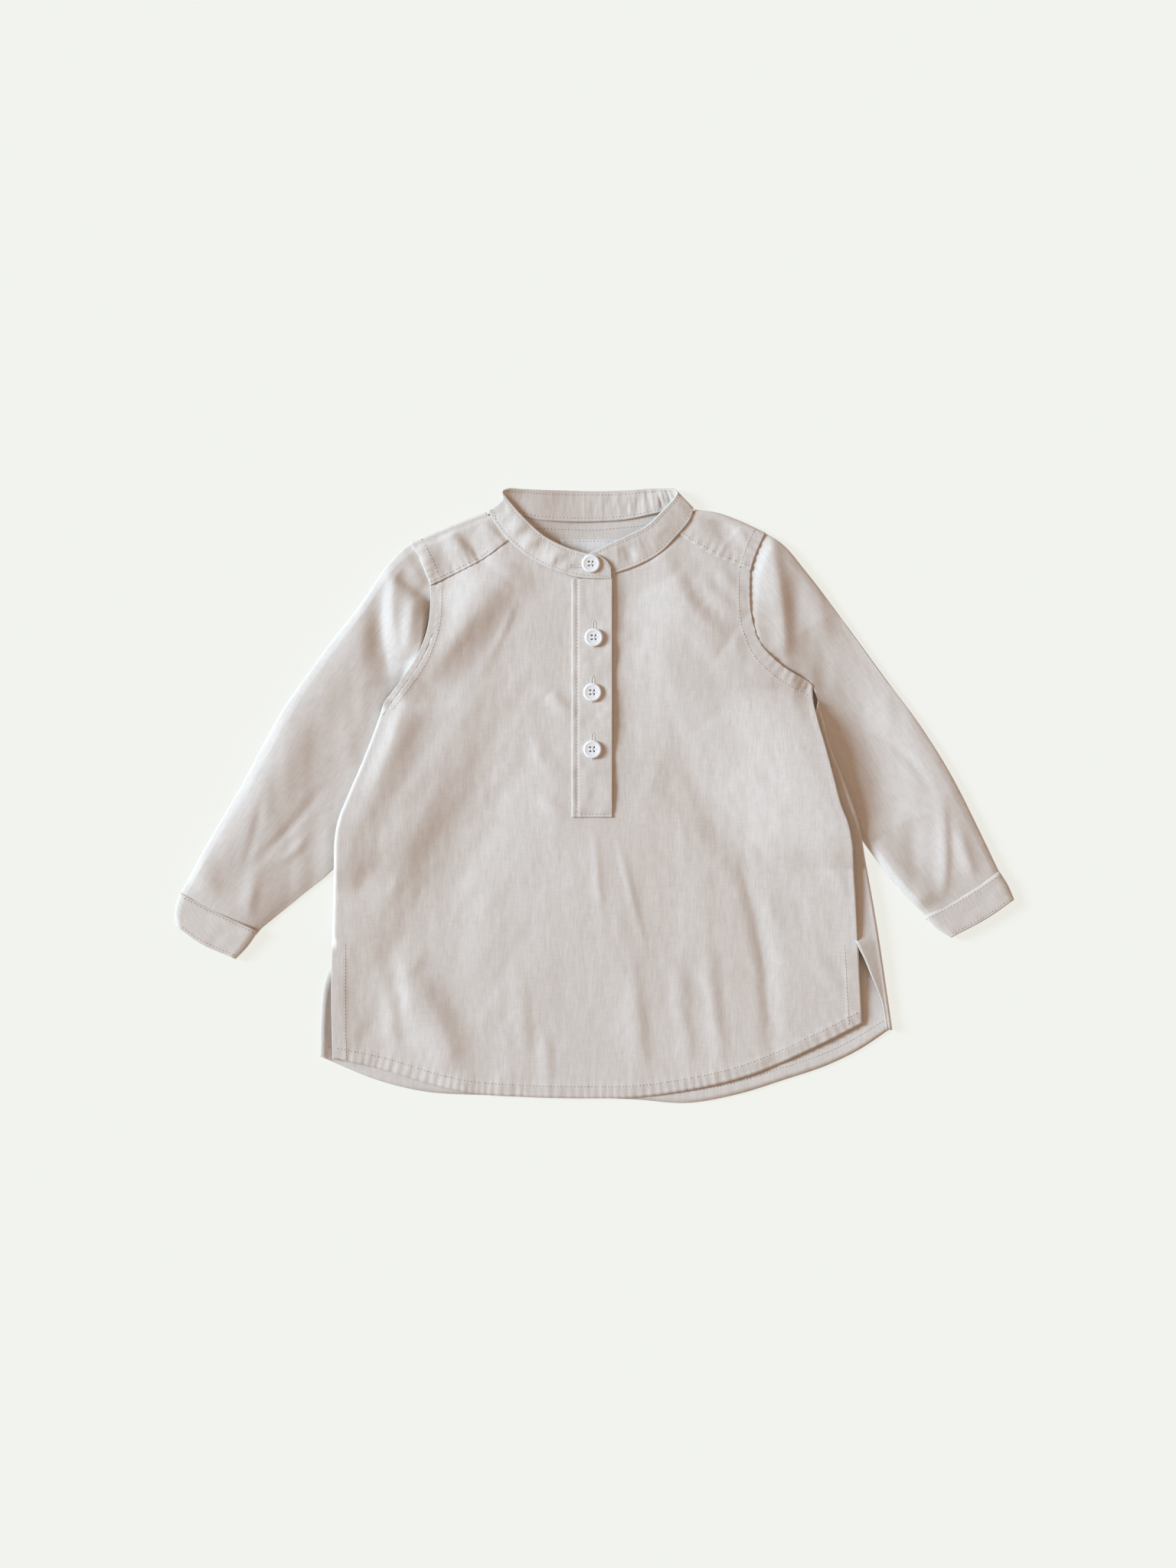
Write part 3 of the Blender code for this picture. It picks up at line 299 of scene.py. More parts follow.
# %% [markdown]
# ## How high the cloth lies
# Laid flat, the top layer rests on the back and on the tucked sleeves, and air between
# the layers lofts it a little. A few heights along the body say this, and they are the
# solids' own, so the fine sheet stays on its solid.

# %% Rest, loft and the lift of the tucked sleeves
REST = ((-194.0, 2.0), (-165.0, 2.1), (-130.0, 3.0), (-95.0, FOLD_HEIGHT), (200.0, FOLD_HEIGHT))
LOFT = (
    (-194.0, 0.2), (-165.0, 0.9), (-120.0, 1.8), (-40.0, 2.6), (60.0, 3.0), (130.0, 3.4),
    (200.0, 2.6),
)
TUCK_RIGHT = ((-62.0, 0.0), (-46.0, 4.6), (-10.0, 5.6), (40.0, 4.6), (46.0, 4.4), (58.0, 0.0))
TUCK_LEFT = (
    (-46.0, 0.0), (-30.0, 5.5), (-10.0, 7.6), (20.0, 8.6), (38.0, 8.2), (46.0, 7.2), (66.0, 0.0),
)
TUCK_MARGIN = 1.5
# runs over the right and the left sleeve
TUCK_RUN = (15.0, 15.0)
TUCK_SPREAD = (52.0, 90.0)

# how much higher the two side edges roll, by y
ROLL_RIGHT = (
    (-160.0, 0.8), (-135.0, 3.0), (-100.0, 3.8), (-40.0, 3.2), (0.0, 2.0), (40.0, 0.6),
    (58.0, 0.0),
)
ROLL_LEFT = (
    (-150.0, 0.2), (-130.0, 0.8), (-110.0, 1.6), (-90.0, 2.3), (-50.0, 2.6), (-10.0, 1.8),
    (40.0, 0.4), (60.0, 0.0),
)
ROLL_WIDTHS = (20.0, 32.0)

rest_height = by_y(REST)
roll_right = by_y(ROLL_RIGHT)
roll_left = by_y(ROLL_LEFT)
loft_height = by_y(LOFT)
tuck_right = by_y(TUCK_RIGHT)
tuck_left = by_y(TUCK_LEFT)
sleeve_edge_right = x_by_y(INNER_RIGHT[2:])
sleeve_edge_left = x_by_y(INNER_LEFT[2:])


def lift(x, y, runs):
    """How far a tucked sleeve raises the cloth over it, fading to nothing over its run."""
    past_right = x - sleeve_edge_right(y) - TUCK_MARGIN
    past_left = sleeve_edge_left(y) - x - TUCK_MARGIN
    right = tuck_right(y) * (1 - ease(past_right / runs[0]))
    left = tuck_left(y) * (1 - ease(past_left / runs[1]))
    return np.maximum(np.maximum(right, left), 0.0)


# %% [markdown]
# ## Folds
# A fold in laid cloth is a soft ridge: it climbs slowly on one side, drops quickly on the
# other and dies out at both ends. One row places one fold: the start, middle and
# end of its crest, how wide it is on its west (-X) and east (+X) sides, and its height.
# Simulation could crumple the cloth too, but it would not put a fold where this shirt has
# it, so the folds are placed one by one.

# %% Nearest point on a line, and folds
def traced(points, count=28):
    """A smooth line through points as a list of short straight stretches."""
    return smooth_curve(points)(np.linspace(0.0, 1.0, count))


def nearest(x, y, line):
    """Distance to a line, length along it, x of the nearest point, and the line's length."""
    away = np.full(np.shape(x), np.inf)
    along = np.zeros(np.shape(x))
    near_x = np.zeros(np.shape(x))
    reach = 0.0
    for (x0, y0), (x1, y1) in zip(line, line[1:]):
        length = math.hypot(x1 - x0, y1 - y0)
        share = np.clip(((x - x0) * (x1 - x0) + (y - y0) * (y1 - y0)) / length**2, 0.0, 1.0)
        here_x = blend(x0, x1, share)
        here = np.hypot(x - here_x, y - blend(y0, y1, share))
        closer = here < away
        away = np.where(closer, here, away)
        along = np.where(closer, reach + share * length, along)
        near_x = np.where(closer, here_x, near_x)
        reach += length
    return away, along, near_x, reach


def folds(x, y, rows):
    """Sum of soft ridges (or troughs, where the height is below 0)."""
    rise = np.zeros(np.shape(x))
    for x0, y0, x1, y1, x2, y2, west, east, height in rows:
        away, along, near_x, reach = nearest(x, y, traced(((x0, y0), (x1, y1), (x2, y2)), 9))
        side = np.clip(0.5 + 0.5 * (x - near_x) / np.maximum(away, 0.01), 0.0, 1.0)
        fade = np.sin(np.clip(along / reach, 0.05, 0.95) * math.pi) ** 0.6
        rise += height * fade * hill(away, blend(west, east, side))
    return rise


def hollows(x, y, rows):
    """Sum of broad round swells: x, y, half length, half width, turn in degrees, height."""
    rise = np.zeros(np.shape(x))
    for centre_x, centre_y, long, wide, turn, height in rows:
        angle = math.radians(turn)
        forward = (x - centre_x) * math.cos(angle) + (y - centre_y) * math.sin(angle)
        aside = (y - centre_y) * math.cos(angle) - (x - centre_x) * math.sin(angle)
        rise += height * np.exp(-((forward / long) ** 2) - (aside / wide) ** 2)
    return rise


# %% [markdown]
# ## Unevenness and puckers
# No two threads pull alike, so a seam puckers at uneven steps and the cloth between the
# seams is never quite level. A small seeded noise gives both, the same at each run.

# %% Seeded unevenness
NOISE_SIZE = 64


def uneven(x, y, size_x, size_y, seed):
    """Smooth noise from -1 to 1 with bumps of a given size."""
    table = np.random.RandomState(seed).uniform(-1.0, 1.0, (NOISE_SIZE, NOISE_SIZE))
    grid_x = x / size_x + 500.0
    grid_y = y / size_y + 500.0
    cell_x = np.floor(grid_x).astype(int)
    cell_y = np.floor(grid_y).astype(int)
    share_x = ease(grid_x - cell_x)
    share_y = ease(grid_y - cell_y)

    def corner(step_x, step_y):
        return table[(cell_x + step_x) % NOISE_SIZE, (cell_y + step_y) % NOISE_SIZE]

    low = blend(corner(0, 0), corner(1, 0), share_x)
    high = blend(corner(0, 1), corner(1, 1), share_x)
    return blend(low, high, share_y)


def seam_relief(x, y, line, width, rise, pitch, spread, pucker, seed):
    """A seam's doubled cloth, raised along one side, and the puckers that its thread pulls."""
    away, along, _, _ = nearest(x, y, line)
    level = rise * (1 - ease((away - width) / 1.8))
    turns = along / pitch + 0.8 * uneven(along, 0.0 * along, 3.3 * pitch, 1.0, seed)
    strength = 0.55 + 0.45 * uneven(along, 0.0 * along, 5.1 * pitch, 1.0, seed + 1)
    wave = np.sin(2 * math.pi * turns) * strength * hill(away, spread)
    return level + pucker * wave


# %% The folds of the body and the yoke
BODY_FOLDS = (
    (-57.0, 142.0, -83.0, 107.0, -111.0, 69.0, 16, 14, 6.0),
    (-115.0, 74.0, -123.0, 43.0, -142.0, -8.0, 12, 13, 3.0),
    (-80.0, 60.0, -112.0, -20.0, -150.0, -106.0, 20, 15, 3.4),
    (-69.6, -0.5, -80.2, -34.1, -101.8, -77.3, 16, 20, -1.6),
    (-21.6, 13.0, -34.1, 22.6, -36.0, 38.9, 4, 5, 0.8),
    (-15.4, -11.0, -29.3, -6.2, -33.1, 1.9, 4, 5, 0.8),
    (-29.3, 64.8, -20.6, 56.2, -11.0, 48.5, 6, 4, 1.3),
    (-140.6, -89.3, -136.8, -115.7, -140.6, -142.1, 9, 7, 0.8),
    (-118.6, -101.3, -116.2, -125.3, -113.8, -151.7, 7, 10, 1.5),
    (-118.0, -112.0, -98.0, -145.0, -87.0, -178.0, 16, 10, 3.1),
    (-131.0, -114.0, -127.5, -137.0, -125.0, -160.0, 6, 5, 1.4),
    (-46.1, -113.3, -44.6, -139.7, -42.2, -166.1, 6, 4, 0.6),
    (-31.2, -149.3, -30.2, -164.6, -29.3, -180.5, 5, 4, 0.9),
    (0.0, -24.5, 1.9, -53.3, 5.3, -79.7, 2.5, 2.5, 0.5),
    (13.9, -24.5, 21.6, -58.1, 31.2, -94.1, 2.5, 2.5, 0.5),
    (23.0, -106.1, 27.0, -144.5, 31.0, -175.7, 9, 5, 1.2),
    (52.0, -101.3, 55.0, -139.7, 60.0, -173.3, 6, 5, 0.9),
    (70.0, -96.5, 74.0, -130.1, 80.0, -168.5, 5, 5, 1.0),
    (90.2, -34.1, 104.6, -94.1, 111.8, -166.1, 4.5, 7, -1.4),
    (35.0, 16.3, 71.0, -0.5, 91.7, -38.9, 16, 22, -2.2),
    (46.0, 140.0, 62.0, 113.0, 86.0, 95.0, 22, 7, 3.6),
    (62.0, 138.0, 79.0, 122.0, 95.0, 109.0, 8, 5, 1.6),
    (-49.0, 146.0, -52.0, 138.0, -58.0, 126.0, 14, 16, 1.6),
    (78.0, 142.0, 86.0, 131.0, 95.0, 121.0, 6, 4, 0.9),
    (22.1, 111.8, 31.2, 109.4, 40.8, 105.6, 2.5, 2.5, 0.6),
    (26.0, 104.0, 44.0, 80.0, 74.0, 44.0, 16, 16, 1.8),
    (-50.4, 119.5, -58.6, 100.3, -63.4, 89.8, 2.5, 2.5, 0.45),
)
YOKE_FOLDS = (
    (-110.0, 161.0, -106.0, 148.0, -102.5, 134.0, 5, 8, 2.2),
    (-95.0, 168.0, -86.5, 158.5, -77.5, 145.0, 8, 5, 2.2),
    (-72.0, 171.0, -62.0, 162.0, -58.0, 155.0, 9, 3, 1.5),
    (-85.0, 162.7, -76.3, 155.0, -69.6, 146.9, 3, 3, -0.8),
    (75.0, 176.0, 80.0, 168.0, 87.0, 161.0, 8, 8, -1.2),
    (88.8, 168.5, 92.6, 162.7, 97.4, 155.0, 4, 3, 0.8),
)
PLACKET_TROUGHS = (
    (21.0, 148.0, 21.0, 112.0, 19.0, 74.0, 9, 18, -1.9),
    (20.0, 70.0, 23.0, 48.0, 20.0, 22.0, 12, 22, -1.5),
)
# x, y, half length, half width, turn of the length from +X, height
BODY_HOLLOWS = (
    (-80.0, 52.0, 40.0, 30.0, 90.0, 1.8),
    (-58.0, 0.0, 30.0, 18.0, 90.0, -1.0),
    (-22.0, 0.0, 30.0, 16.0, 90.0, 0.8),
    (104.0, 78.0, 34.0, 36.0, 90.0, 4.4),
    (2.0, -72.0, 65.0, 34.0, 90.0, 1.8),
)
print("folds in the body:", len(BODY_FOLDS) + len(YOKE_FOLDS))

# %% [markdown]
# ## The top layer
# Front, yoke, placket and sleeve caps all lie on one surface: its rest, its loft, the
# folds, the raised seams and the puckers. One function of (x, y) keeps them together.

# %% Height of the top layer
ARMHOLE_LINE_RIGHT = traced(ARMHOLE_RIGHT)
ARMHOLE_LINE_LEFT = traced(ARMHOLE_LEFT)
YOKE_LINE_RIGHT = traced(YOKE_SEAM_RIGHT)
YOKE_LINE_LEFT = traced(YOKE_SEAM_LEFT)
HEM_LINE = traced(HEM_FRONT, 60)
SIDE_LINE_RIGHT = traced(SIDE_RIGHT, 40)
SIDE_LINE_LEFT = traced(SEAM_LEFT, 40)
SHOULDER_LINES = (traced(SHOULDER_RIGHT, 8), traced(SHOULDER_LEFT, 8))


def crumple(x, y):
    """Unevenness down the grain, and drag lines that run outwards below the armholes."""
    aside = np.abs(x)
    across_drag = 0.82 * aside + 0.57 * y
    along_drag = 0.57 * aside - 0.82 * y + np.where(x < 0, 300.0, 0.0)
    drag = uneven(across_drag, along_drag, 8.0, 30.0, 13) * ease((aside - 20.0) / 40.0)
    along_grain = 0.26 * uneven(x, y, 17.0, 40.0, 11) + 0.09 * uneven(x, y, 5.0, 14.0, 12)
    return along_grain + 0.24 * drag + 0.045 * uneven(x, y, 2.6, 5.0, 14)


def broad_height(x, y):
    """The top layer without its seams and puckers."""
    from_sides = [nearest(x, y, line)[0] for line in (SIDE_LINE_RIGHT, SIDE_LINE_LEFT)]
    from_side = np.minimum(*from_sides)
    from_shoulder = np.minimum(*(nearest(x, y, line)[0] for line in SHOULDER_LINES))
    spread = lift(x, y, TUCK_SPREAD)
    inner = np.minimum(ease(from_side / EDGE_RUN), ease(from_shoulder / SHOULDER_RUN))
    loft = loft_height(y) * inner
    relief = folds(x, y, BODY_FOLDS + YOKE_FOLDS) + hollows(x, y, BODY_HOLLOWS)
    relief += crumple(x, y)
    rolls = roll_right(y) * hill(from_sides[0], ROLL_WIDTHS[0])
    rolls += roll_left(y) * hill(from_sides[1], ROLL_WIDTHS[1])
    fade = np.minimum(ease(from_side / FOLD_FADE), ease(from_shoulder / SHOULDER_FADE))
    return rest_height(y) + spread + loft + rolls + relief * fade


def top_height(x, y):
    """Middle of the top layer's wall over the body."""
    armholes = seam_relief(x, y, ARMHOLE_LINE_RIGHT, 7.2, 0.1, 5.0, 6.0, 0.3, 21)
    armholes += seam_relief(x, y, ARMHOLE_LINE_LEFT, 7.2, 0.1, 5.0, 6.0, 0.3, 23)
    return broad_height(x, y) + armholes


# %% [markdown]
# ## From a flat grid to worn cloth
# Each sheet starts as a plain grid, as cloth starts as a plain weave. A function says
# where each point of the grid goes, and Solidify gives the sheet its wall at the end.

# %% Grids, sheets and tubes
def grid(columns, rows):
    bm = bmesh.new()
    bmesh.ops.create_grid(bm, x_segments=columns, y_segments=rows, size=0.5)
    return bm


def placed(bm, place):
    """Moves each point of a unit grid to where place(u, v) says; v runs down."""
    bm.verts.ensure_lookup_table()
    flat = np.array([vert.co[:] for vert in bm.verts])
    points = place(flat[:, 0] + 0.5, 0.5 - flat[:, 1]) * MM
    for vert, point in zip(bm.verts, points):
        vert.co = point


def finished(name, bm, material):
    """Turns a bmesh into a smooth piece that rides with the shirt."""
    bmesh.ops.recalc_face_normals(bm, faces=bm.faces)
    mesh = bpy.data.meshes.new(name)
    bm.to_mesh(mesh)
    bm.free()
    mesh.materials.append(material)
    mesh.shade_smooth()
    piece = bpy.data.objects.new(name, mesh)
    bpy.context.scene.collection.objects.link(piece)
    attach(piece, "root")
    return piece


def thicken(piece, wall):
    solidify = piece.modifiers.new("wall", "SOLIDIFY")
    solidify.thickness = wall * MM
    solidify.offset = 0.0


def area_of(piece):
    return sum(polygon.area for polygon in piece.data.polygons)


def cloth(name, columns, rows, place, wall, material):
    """A sheet of cloth from a grid."""
    bm = grid(columns, rows)
    placed(bm, place)
    piece = finished(name, bm, material)
    thicken(piece, wall)
    print(name, "area", round(area_of(piece), 4), "m2")
    return piece


def tube(name, sides, rows, place, wall, material):
    """A cloth tube: the grid's two long edges meet and are joined."""
    bm = grid(sides, rows)
    placed(bm, place)
    bmesh.ops.remove_doubles(bm, verts=bm.verts, dist=0.01 * MM)
    piece = finished(name, bm, material)
    thicken(piece, wall)
    print(name, "area", round(area_of(piece), 4), "m2")
    return piece


# %% [markdown]
# ## Ecru cotton
# The cloth is a plain-woven cotton in its natural colour. Its threads are a little thick
# and thin, which shows as faint streaks along the grain, and it has almost no shine. The
# weave and the streaks come from noise and waves on Object coordinates, turned so that
# they run along each piece's own grain.

# %% Cotton material
THREAD_PITCH = 0.55 * MM
COTTON_COLOUR = (0.70, 0.645, 0.59)


def add_node(tree, kind, **values):
    """A shader node with its sockets set by name."""
    node = tree.nodes.new(kind)
    for name, value in values.items():
        node.inputs[name.replace("_", " ")].default_value = value
    return node


def cotton(name, grain=0.0, colour=COTTON_COLOUR):
    """Cotton whose lengthwise threads lie at an angle of grain degrees to +Y."""
    material = bpy.data.materials.new(name)
    material.use_nodes = True
    tree = material.node_tree
    shader = tree.nodes["Principled BSDF"]
    place = tree.nodes.new("ShaderNodeTexCoord")
    turned_grain = add_node(tree, "ShaderNodeMapping", Rotation=(0.0, 0.0, math.radians(-grain)))
    tree.links.new(place.outputs["Object"], turned_grain.inputs["Vector"])

    def noise(stretch, detail):
        scaled = add_node(tree, "ShaderNodeMapping", Scale=stretch)
        tree.links.new(turned_grain.outputs[0], scaled.inputs["Vector"])
        texture = add_node(tree, "ShaderNodeTexNoise", Scale=1.0, Detail=detail)
        tree.links.new(scaled.outputs[0], texture.inputs["Vector"])
        return texture.outputs["Fac"]

    def wave(direction):
        texture = add_node(tree, "ShaderNodeTexWave", Scale=0.5 / THREAD_PITCH, Distortion=0.6)
        texture.bands_direction = direction
        tree.links.new(turned_grain.outputs[0], texture.inputs["Vector"])
        return texture.outputs["Fac"]

    def mixed(kind, first, second, factor):
        mix = tree.nodes.new("ShaderNodeMix")
        mix.data_type = "RGBA"
        mix.blend_type = kind
        mix.inputs[0].default_value = factor
        for socket, value in ((mix.inputs[6], first), (mix.inputs[7], second)):
            if isinstance(value, tuple):
                socket.default_value = value
            else:
                tree.links.new(value, socket)
        return mix.outputs[2]

    def tinted(source, low, high):
        ramp = tree.nodes.new("ShaderNodeMapRange")
        ramp.inputs["From Min"].default_value = 0.3
        ramp.inputs["From Max"].default_value = 0.7
        ramp.inputs["To Min"].default_value = low
        ramp.inputs["To Max"].default_value = high
        tree.links.new(source, ramp.inputs["Value"])
        return ramp.outputs["Result"]

    slub = noise((1150.0, 120.0, 200.0), 3.0)
    mottle = noise((30.0, 16.0, 30.0), 2.0)
    weft = noise((150.0, 1150.0, 200.0), 3.0)
    tone = mixed("MULTIPLY", (*colour, 1.0), tinted(slub, 0.925, 1.05), 1.0)
    tone = mixed("MULTIPLY", tone, tinted(weft, 0.97, 1.025), 1.0)
    tone = mixed("MULTIPLY", tone, tinted(mottle, 0.975, 1.02), 1.0)
    tree.links.new(tone, shader.inputs["Base Color"])

    weave = mixed("LIGHTEN", wave("X"), wave("Y"), 1.0)
    relief = mixed("ADD", weave, slub, 1.0)
    bump = add_node(tree, "ShaderNodeBump", Strength=0.35, Distance=0.12 * MM)
    tree.links.new(relief, bump.inputs["Height"])
    tree.links.new(bump.outputs["Normal"], shader.inputs["Normal"])
    shader.inputs["Roughness"].default_value = 0.9
    shader.inputs["Specular IOR Level"].default_value = 0.25
    shader.inputs["Sheen Weight"].default_value = 0.08
    shader.inputs["Sheen Roughness"].default_value = 0.5
    return material


body_cotton = cotton("ecru_cotton_body")
yoke_cotton = cotton("ecru_cotton_yoke")
print("cotton:", body_cotton.name)

# %% [markdown]
# ## The back panel
# The back lies on the table. Its left edge turns over the side and comes back on top to
# the side seam, so that fold is part of the same cut. Only its hem and the turned strip
# show, but all of it is here, because the underside of a garment is part of it.

# %% Strips that turn over an edge
LEAST_STRIP = 4.0
LEAST_WRAP = 0.25


def turned(share, width, angle, flat):
    """Way out and way up along a strip bent through an angle, then straight on."""
    angle = np.maximum(angle, 0.01)
    radius = width / angle
    bend = angle * np.clip(share * 1.5, 0.0, 1.0)
    straight = flat * np.clip(share * 3.0 - 2.0, 0.0, 1.0)
    out = radius * np.sin(bend) + straight * np.cos(angle)
    up = radius * (1 - np.cos(bend)) + straight * np.sin(angle)
    return out, up


def strip_reach(width, angle):
    """How far out of its start such a strip gets."""
    angle = np.maximum(angle, 0.01)
    return width / angle * np.sin(np.minimum(angle, TURN / 2))


# %% Plan of the back
BACK_TURN_COLUMNS, BACK_COLUMNS, BACK_ROWS = 18, 110, 110
ARMHOLE_SHARE = 0.3
WRAP_SINK = 0.8  # how much lower the turned edge lies than the front's edge on it
CURL = 3.4  # how far the right slit's edge of the back curls up
BACK_SLIT_X = 164.0
STRIP_SLOPE = 0.26  # how steeply the turned strip falls to its fold
STRIP_BASE = 0.35  # the share of the edge's roll that the fold itself takes
SLIT_HEAP = 1.2  # how far the back lifts under the left slit
SLIT_HEAP_X = 162.0
SLIT_HEAP_WIDTH = 10.0

back_armhole = smooth_curve(ARMHOLE_RIGHT[3:])
hidden_side = [(x + FOLD_RADIUS + SEAM_GAP, y) for x, y in SIDE_RIGHT[1:8]]
back_right = joined(
    (back_armhole, ARMHOLE_SHARE),
    (smooth_curve([SIDE_RIGHT[0]] + hidden_side + list(BACK_SIDE_RIGHT)), 1.0),
)
back_fold = joined((smooth_curve(ARMHOLE_LEFT[3:]), ARMHOLE_SHARE), (smooth_curve(FOLD_LEFT), 1.0))
fold_x = x_by_y(FOLD_LEFT)
edge_x = x_by_y(SEAM_LEFT[:-2] + TURNED_EDGE_LEFT[1:])
wrap_lap = by_y((
    (-160.0, 0.4), (-96.0, 0.0), (-91.0, 0.4), (-86.0, 3.0), (44.0, 3.0), (60.0, 0.0),
))


def back_strip(v):
    y = back_fold(v)[:, 1]
    angle = TURN * ease((66.0 - y) / 16.0)
    width = np.maximum(FOLD_RADIUS * angle, LEAST_STRIP)
    flat = np.maximum(fold_x(y) - FOLD_RADIUS - edge_x(y) + wrap_lap(y), LEAST_WRAP)
    return width, angle, flat


def back_start(v):
    v = np.asarray(v, float)
    width, angle, _ = back_strip(v)
    inwards = across(back_fold, v, (0.0, 0.0))
    return back_fold(v) + inwards * (strip_reach(width, angle) + CLOTH_WALL / 2)[:, None]


def ends(curve):
    """A curve's first and last points, as tuples."""
    return tuple(curve(np.array([0.0]))[0]), tuple(curve(np.array([1.0]))[0])


back_corner_right, back_foot_right = ends(back_right)
back_corner_left, back_foot_left = ends(back_start)
back_top = smooth_curve((
    back_corner_right, (back_corner_right[0] / 2, BACK_YOKE_SEAM),
    (back_corner_left[0] / 2, BACK_YOKE_SEAM), back_corner_left,
))
back_hem = smooth_curve((back_foot_right,) + HEM_BACK[1:-1] + (back_foot_left,))
back_plan = stretched(back_top, back_hem, back_right, back_start)
BACK_HEM_LINE = traced(HEM_BACK, 60)

# %% Make the back
def back_place(u, v):
    body_share = BACK_COLUMNS / (BACK_COLUMNS + BACK_TURN_COLUMNS)
    body = np.clip(u / body_share, 0.0, 1.0)
    over = np.clip((u - body_share) / (1 - body_share), 0.0, 1.0)
    point = back_plan(body, v)
    height = ON_TABLE + lift(point[:, 0], point[:, 1], TUCK_RUN)
    hem = seam_relief(point[:, 0], point[:, 1], BACK_HEM_LINE, 7.0, 0.35, 5.6, 8.0, 0.2, 31)
    width, angle, flat = back_strip(v)
    out, up = turned(over, width, angle, flat)
    roll = roll_left(point[:, 1])
    up *= 1 + STRIP_BASE * roll / (FOLD_HEIGHT - ON_TABLE)
    rolled = np.where(point[:, 1] > -90.0, (1 - STRIP_BASE) * roll + 0.1, flat)
    tip = np.minimum(STRIP_SLOPE * flat, rolled)
    up += tip * np.clip(over * 3.0 - 2.0, 0.0, 1.0) * angle / TURN
    point -= across(back_fold, v, (0.0, 0.0)) * out[:, None] * (over > 0)[:, None]
    rumple = 0.2 * uneven(point[:, 0], point[:, 1], 8.0, 30.0, 33) * ease(over * 3.0)
    sink = WRAP_SINK * ease((over - 0.35) / 0.4) * ease((62.0 - point[:, 1]) / 10.0)
    curl = CURL * ease((-BACK_SLIT_X - point[:, 0]) / 9.0) * ease((-100.0 - point[:, 1]) / 12.0)
    heap = SLIT_HEAP * hill(point[:, 0] - SLIT_HEAP_X, SLIT_HEAP_WIDTH) * (1 - ease(over * 3.0))
    heap *= ease((-96.0 - point[:, 1]) / 14.0) * (1 - ease((-126.0 - point[:, 1]) / 16.0))
    return np.column_stack([point, height + up - sink + curl + heap + hem * (1 - over) + rumple])


back = cloth(
    "back_panel", BACK_COLUMNS + BACK_TURN_COLUMNS, BACK_ROWS, back_place, CLOTH_WALL, body_cotton
)
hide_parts("back")

# %% [markdown]
# ## The front panel
# The front is one sheet slit down the middle for the placket. Its right edge turns down
# over the side; its left edge stops at the side seam on top of the back's turned strip.
# It runs a little way in under the yoke and the collar, as a seam allowance does, so no
# gap shows at those seams.

# %% Plan of the front
FRONT_TURN_COLUMNS, FRONT_COLUMNS, FRONT_ROWS = 8, 244, 190
FRONT_ALL = FRONT_TURN_COLUMNS + FRONT_COLUMNS
CORNER_RUN = 0.005  # the share of the top seam over which its allowance starts
FRONT_TURN_SHARE = FRONT_TURN_COLUMNS / FRONT_ALL
FRONT_MIDDLE = (FRONT_TURN_COLUMNS + FRONT_COLUMNS / 2) / FRONT_ALL

front_side = joined(
    (smooth_curve(ARMHOLE_RIGHT[3:]), ARMHOLE_SHARE), (smooth_curve(SIDE_RIGHT), 1.0)
)


def front_strip(v):
    y = front_side(v)[:, 1]
    angle = TURN * ease((58.0 - y) / 12.0) * ease((y + 98.0) / 18.0)
    return np.maximum(FOLD_RADIUS * angle, LEAST_STRIP), angle


def front_start(v):
    v = np.asarray(v, float)
    width, angle = front_strip(v)
    reach = strip_reach(width, angle) + CLOTH_WALL / 2 * angle / TURN
    return front_side(v) + across(front_side, v, (0.0, 0.0)) * reach[:, None]


front_left = joined(
    (smooth_curve(ARMHOLE_LEFT[2:]), ARMHOLE_SHARE), (smooth_curve(SEAM_LEFT), 1.0)
)
front_corner_right, front_foot_right = ends(front_start)
front_corner_left, front_foot_left = ends(front_left)
front_top_seam = joined(
    (smooth_curve((front_corner_right,) + YOKE_SEAM_RIGHT[1:]), 0.25),
    (smooth_curve(NECK_RIGHT), 0.5),
    (smooth_curve(NECK_LEFT), 0.75),
    (smooth_curve(YOKE_SEAM_LEFT[:-1] + (front_corner_left,)), 1.0),
)


def front_top(share):
    """The top seam with its allowance, which runs in under the yoke and the collar."""
    point = front_top_seam(share)
    allowance = LAP * ease(share / CORNER_RUN) * ease((1 - share) / CORNER_RUN)
    return point + np.column_stack([0.0 * allowance, allowance])


front_hem = smooth_curve((front_foot_right,) + HEM_FRONT[1:-1] + (front_foot_left,))
front_plan = stretched(front_top, front_hem, front_start, front_left)
front_top_line = front_top(np.linspace(0.0, 1.0, 400))

# %% Where the front's points go
HEM_FALL = 0.8  # how far the front sinks at its hem
SLIT_FALL = 0.5  # and at its left slit
ARMHOLE_SWELL = 2.6  # how far it rises beside the right armhole
ARMHOLE_SWELL_WIDTH = 9.0
ARMHOLE_SWELL_TOP = 128.0


def front_aside(point, u, v, side):
    """How far the cloth makes way for the slit."""
    open_share = ease((point[:, 1] - SLIT_FOOT) / 2.0)
    edge = np.where(side < 0, SLIT_RIGHT_EDGE, SLIT_LEFT_EDGE)
    middle_x = front_plan(0.0 * u + 0.5, v)[:, 0]
    nearness = 1 - ease(np.abs(point[:, 0] - middle_x) / SLIT_SPREAD)
    return open_share * (side != 0) * (edge - middle_x) * nearness


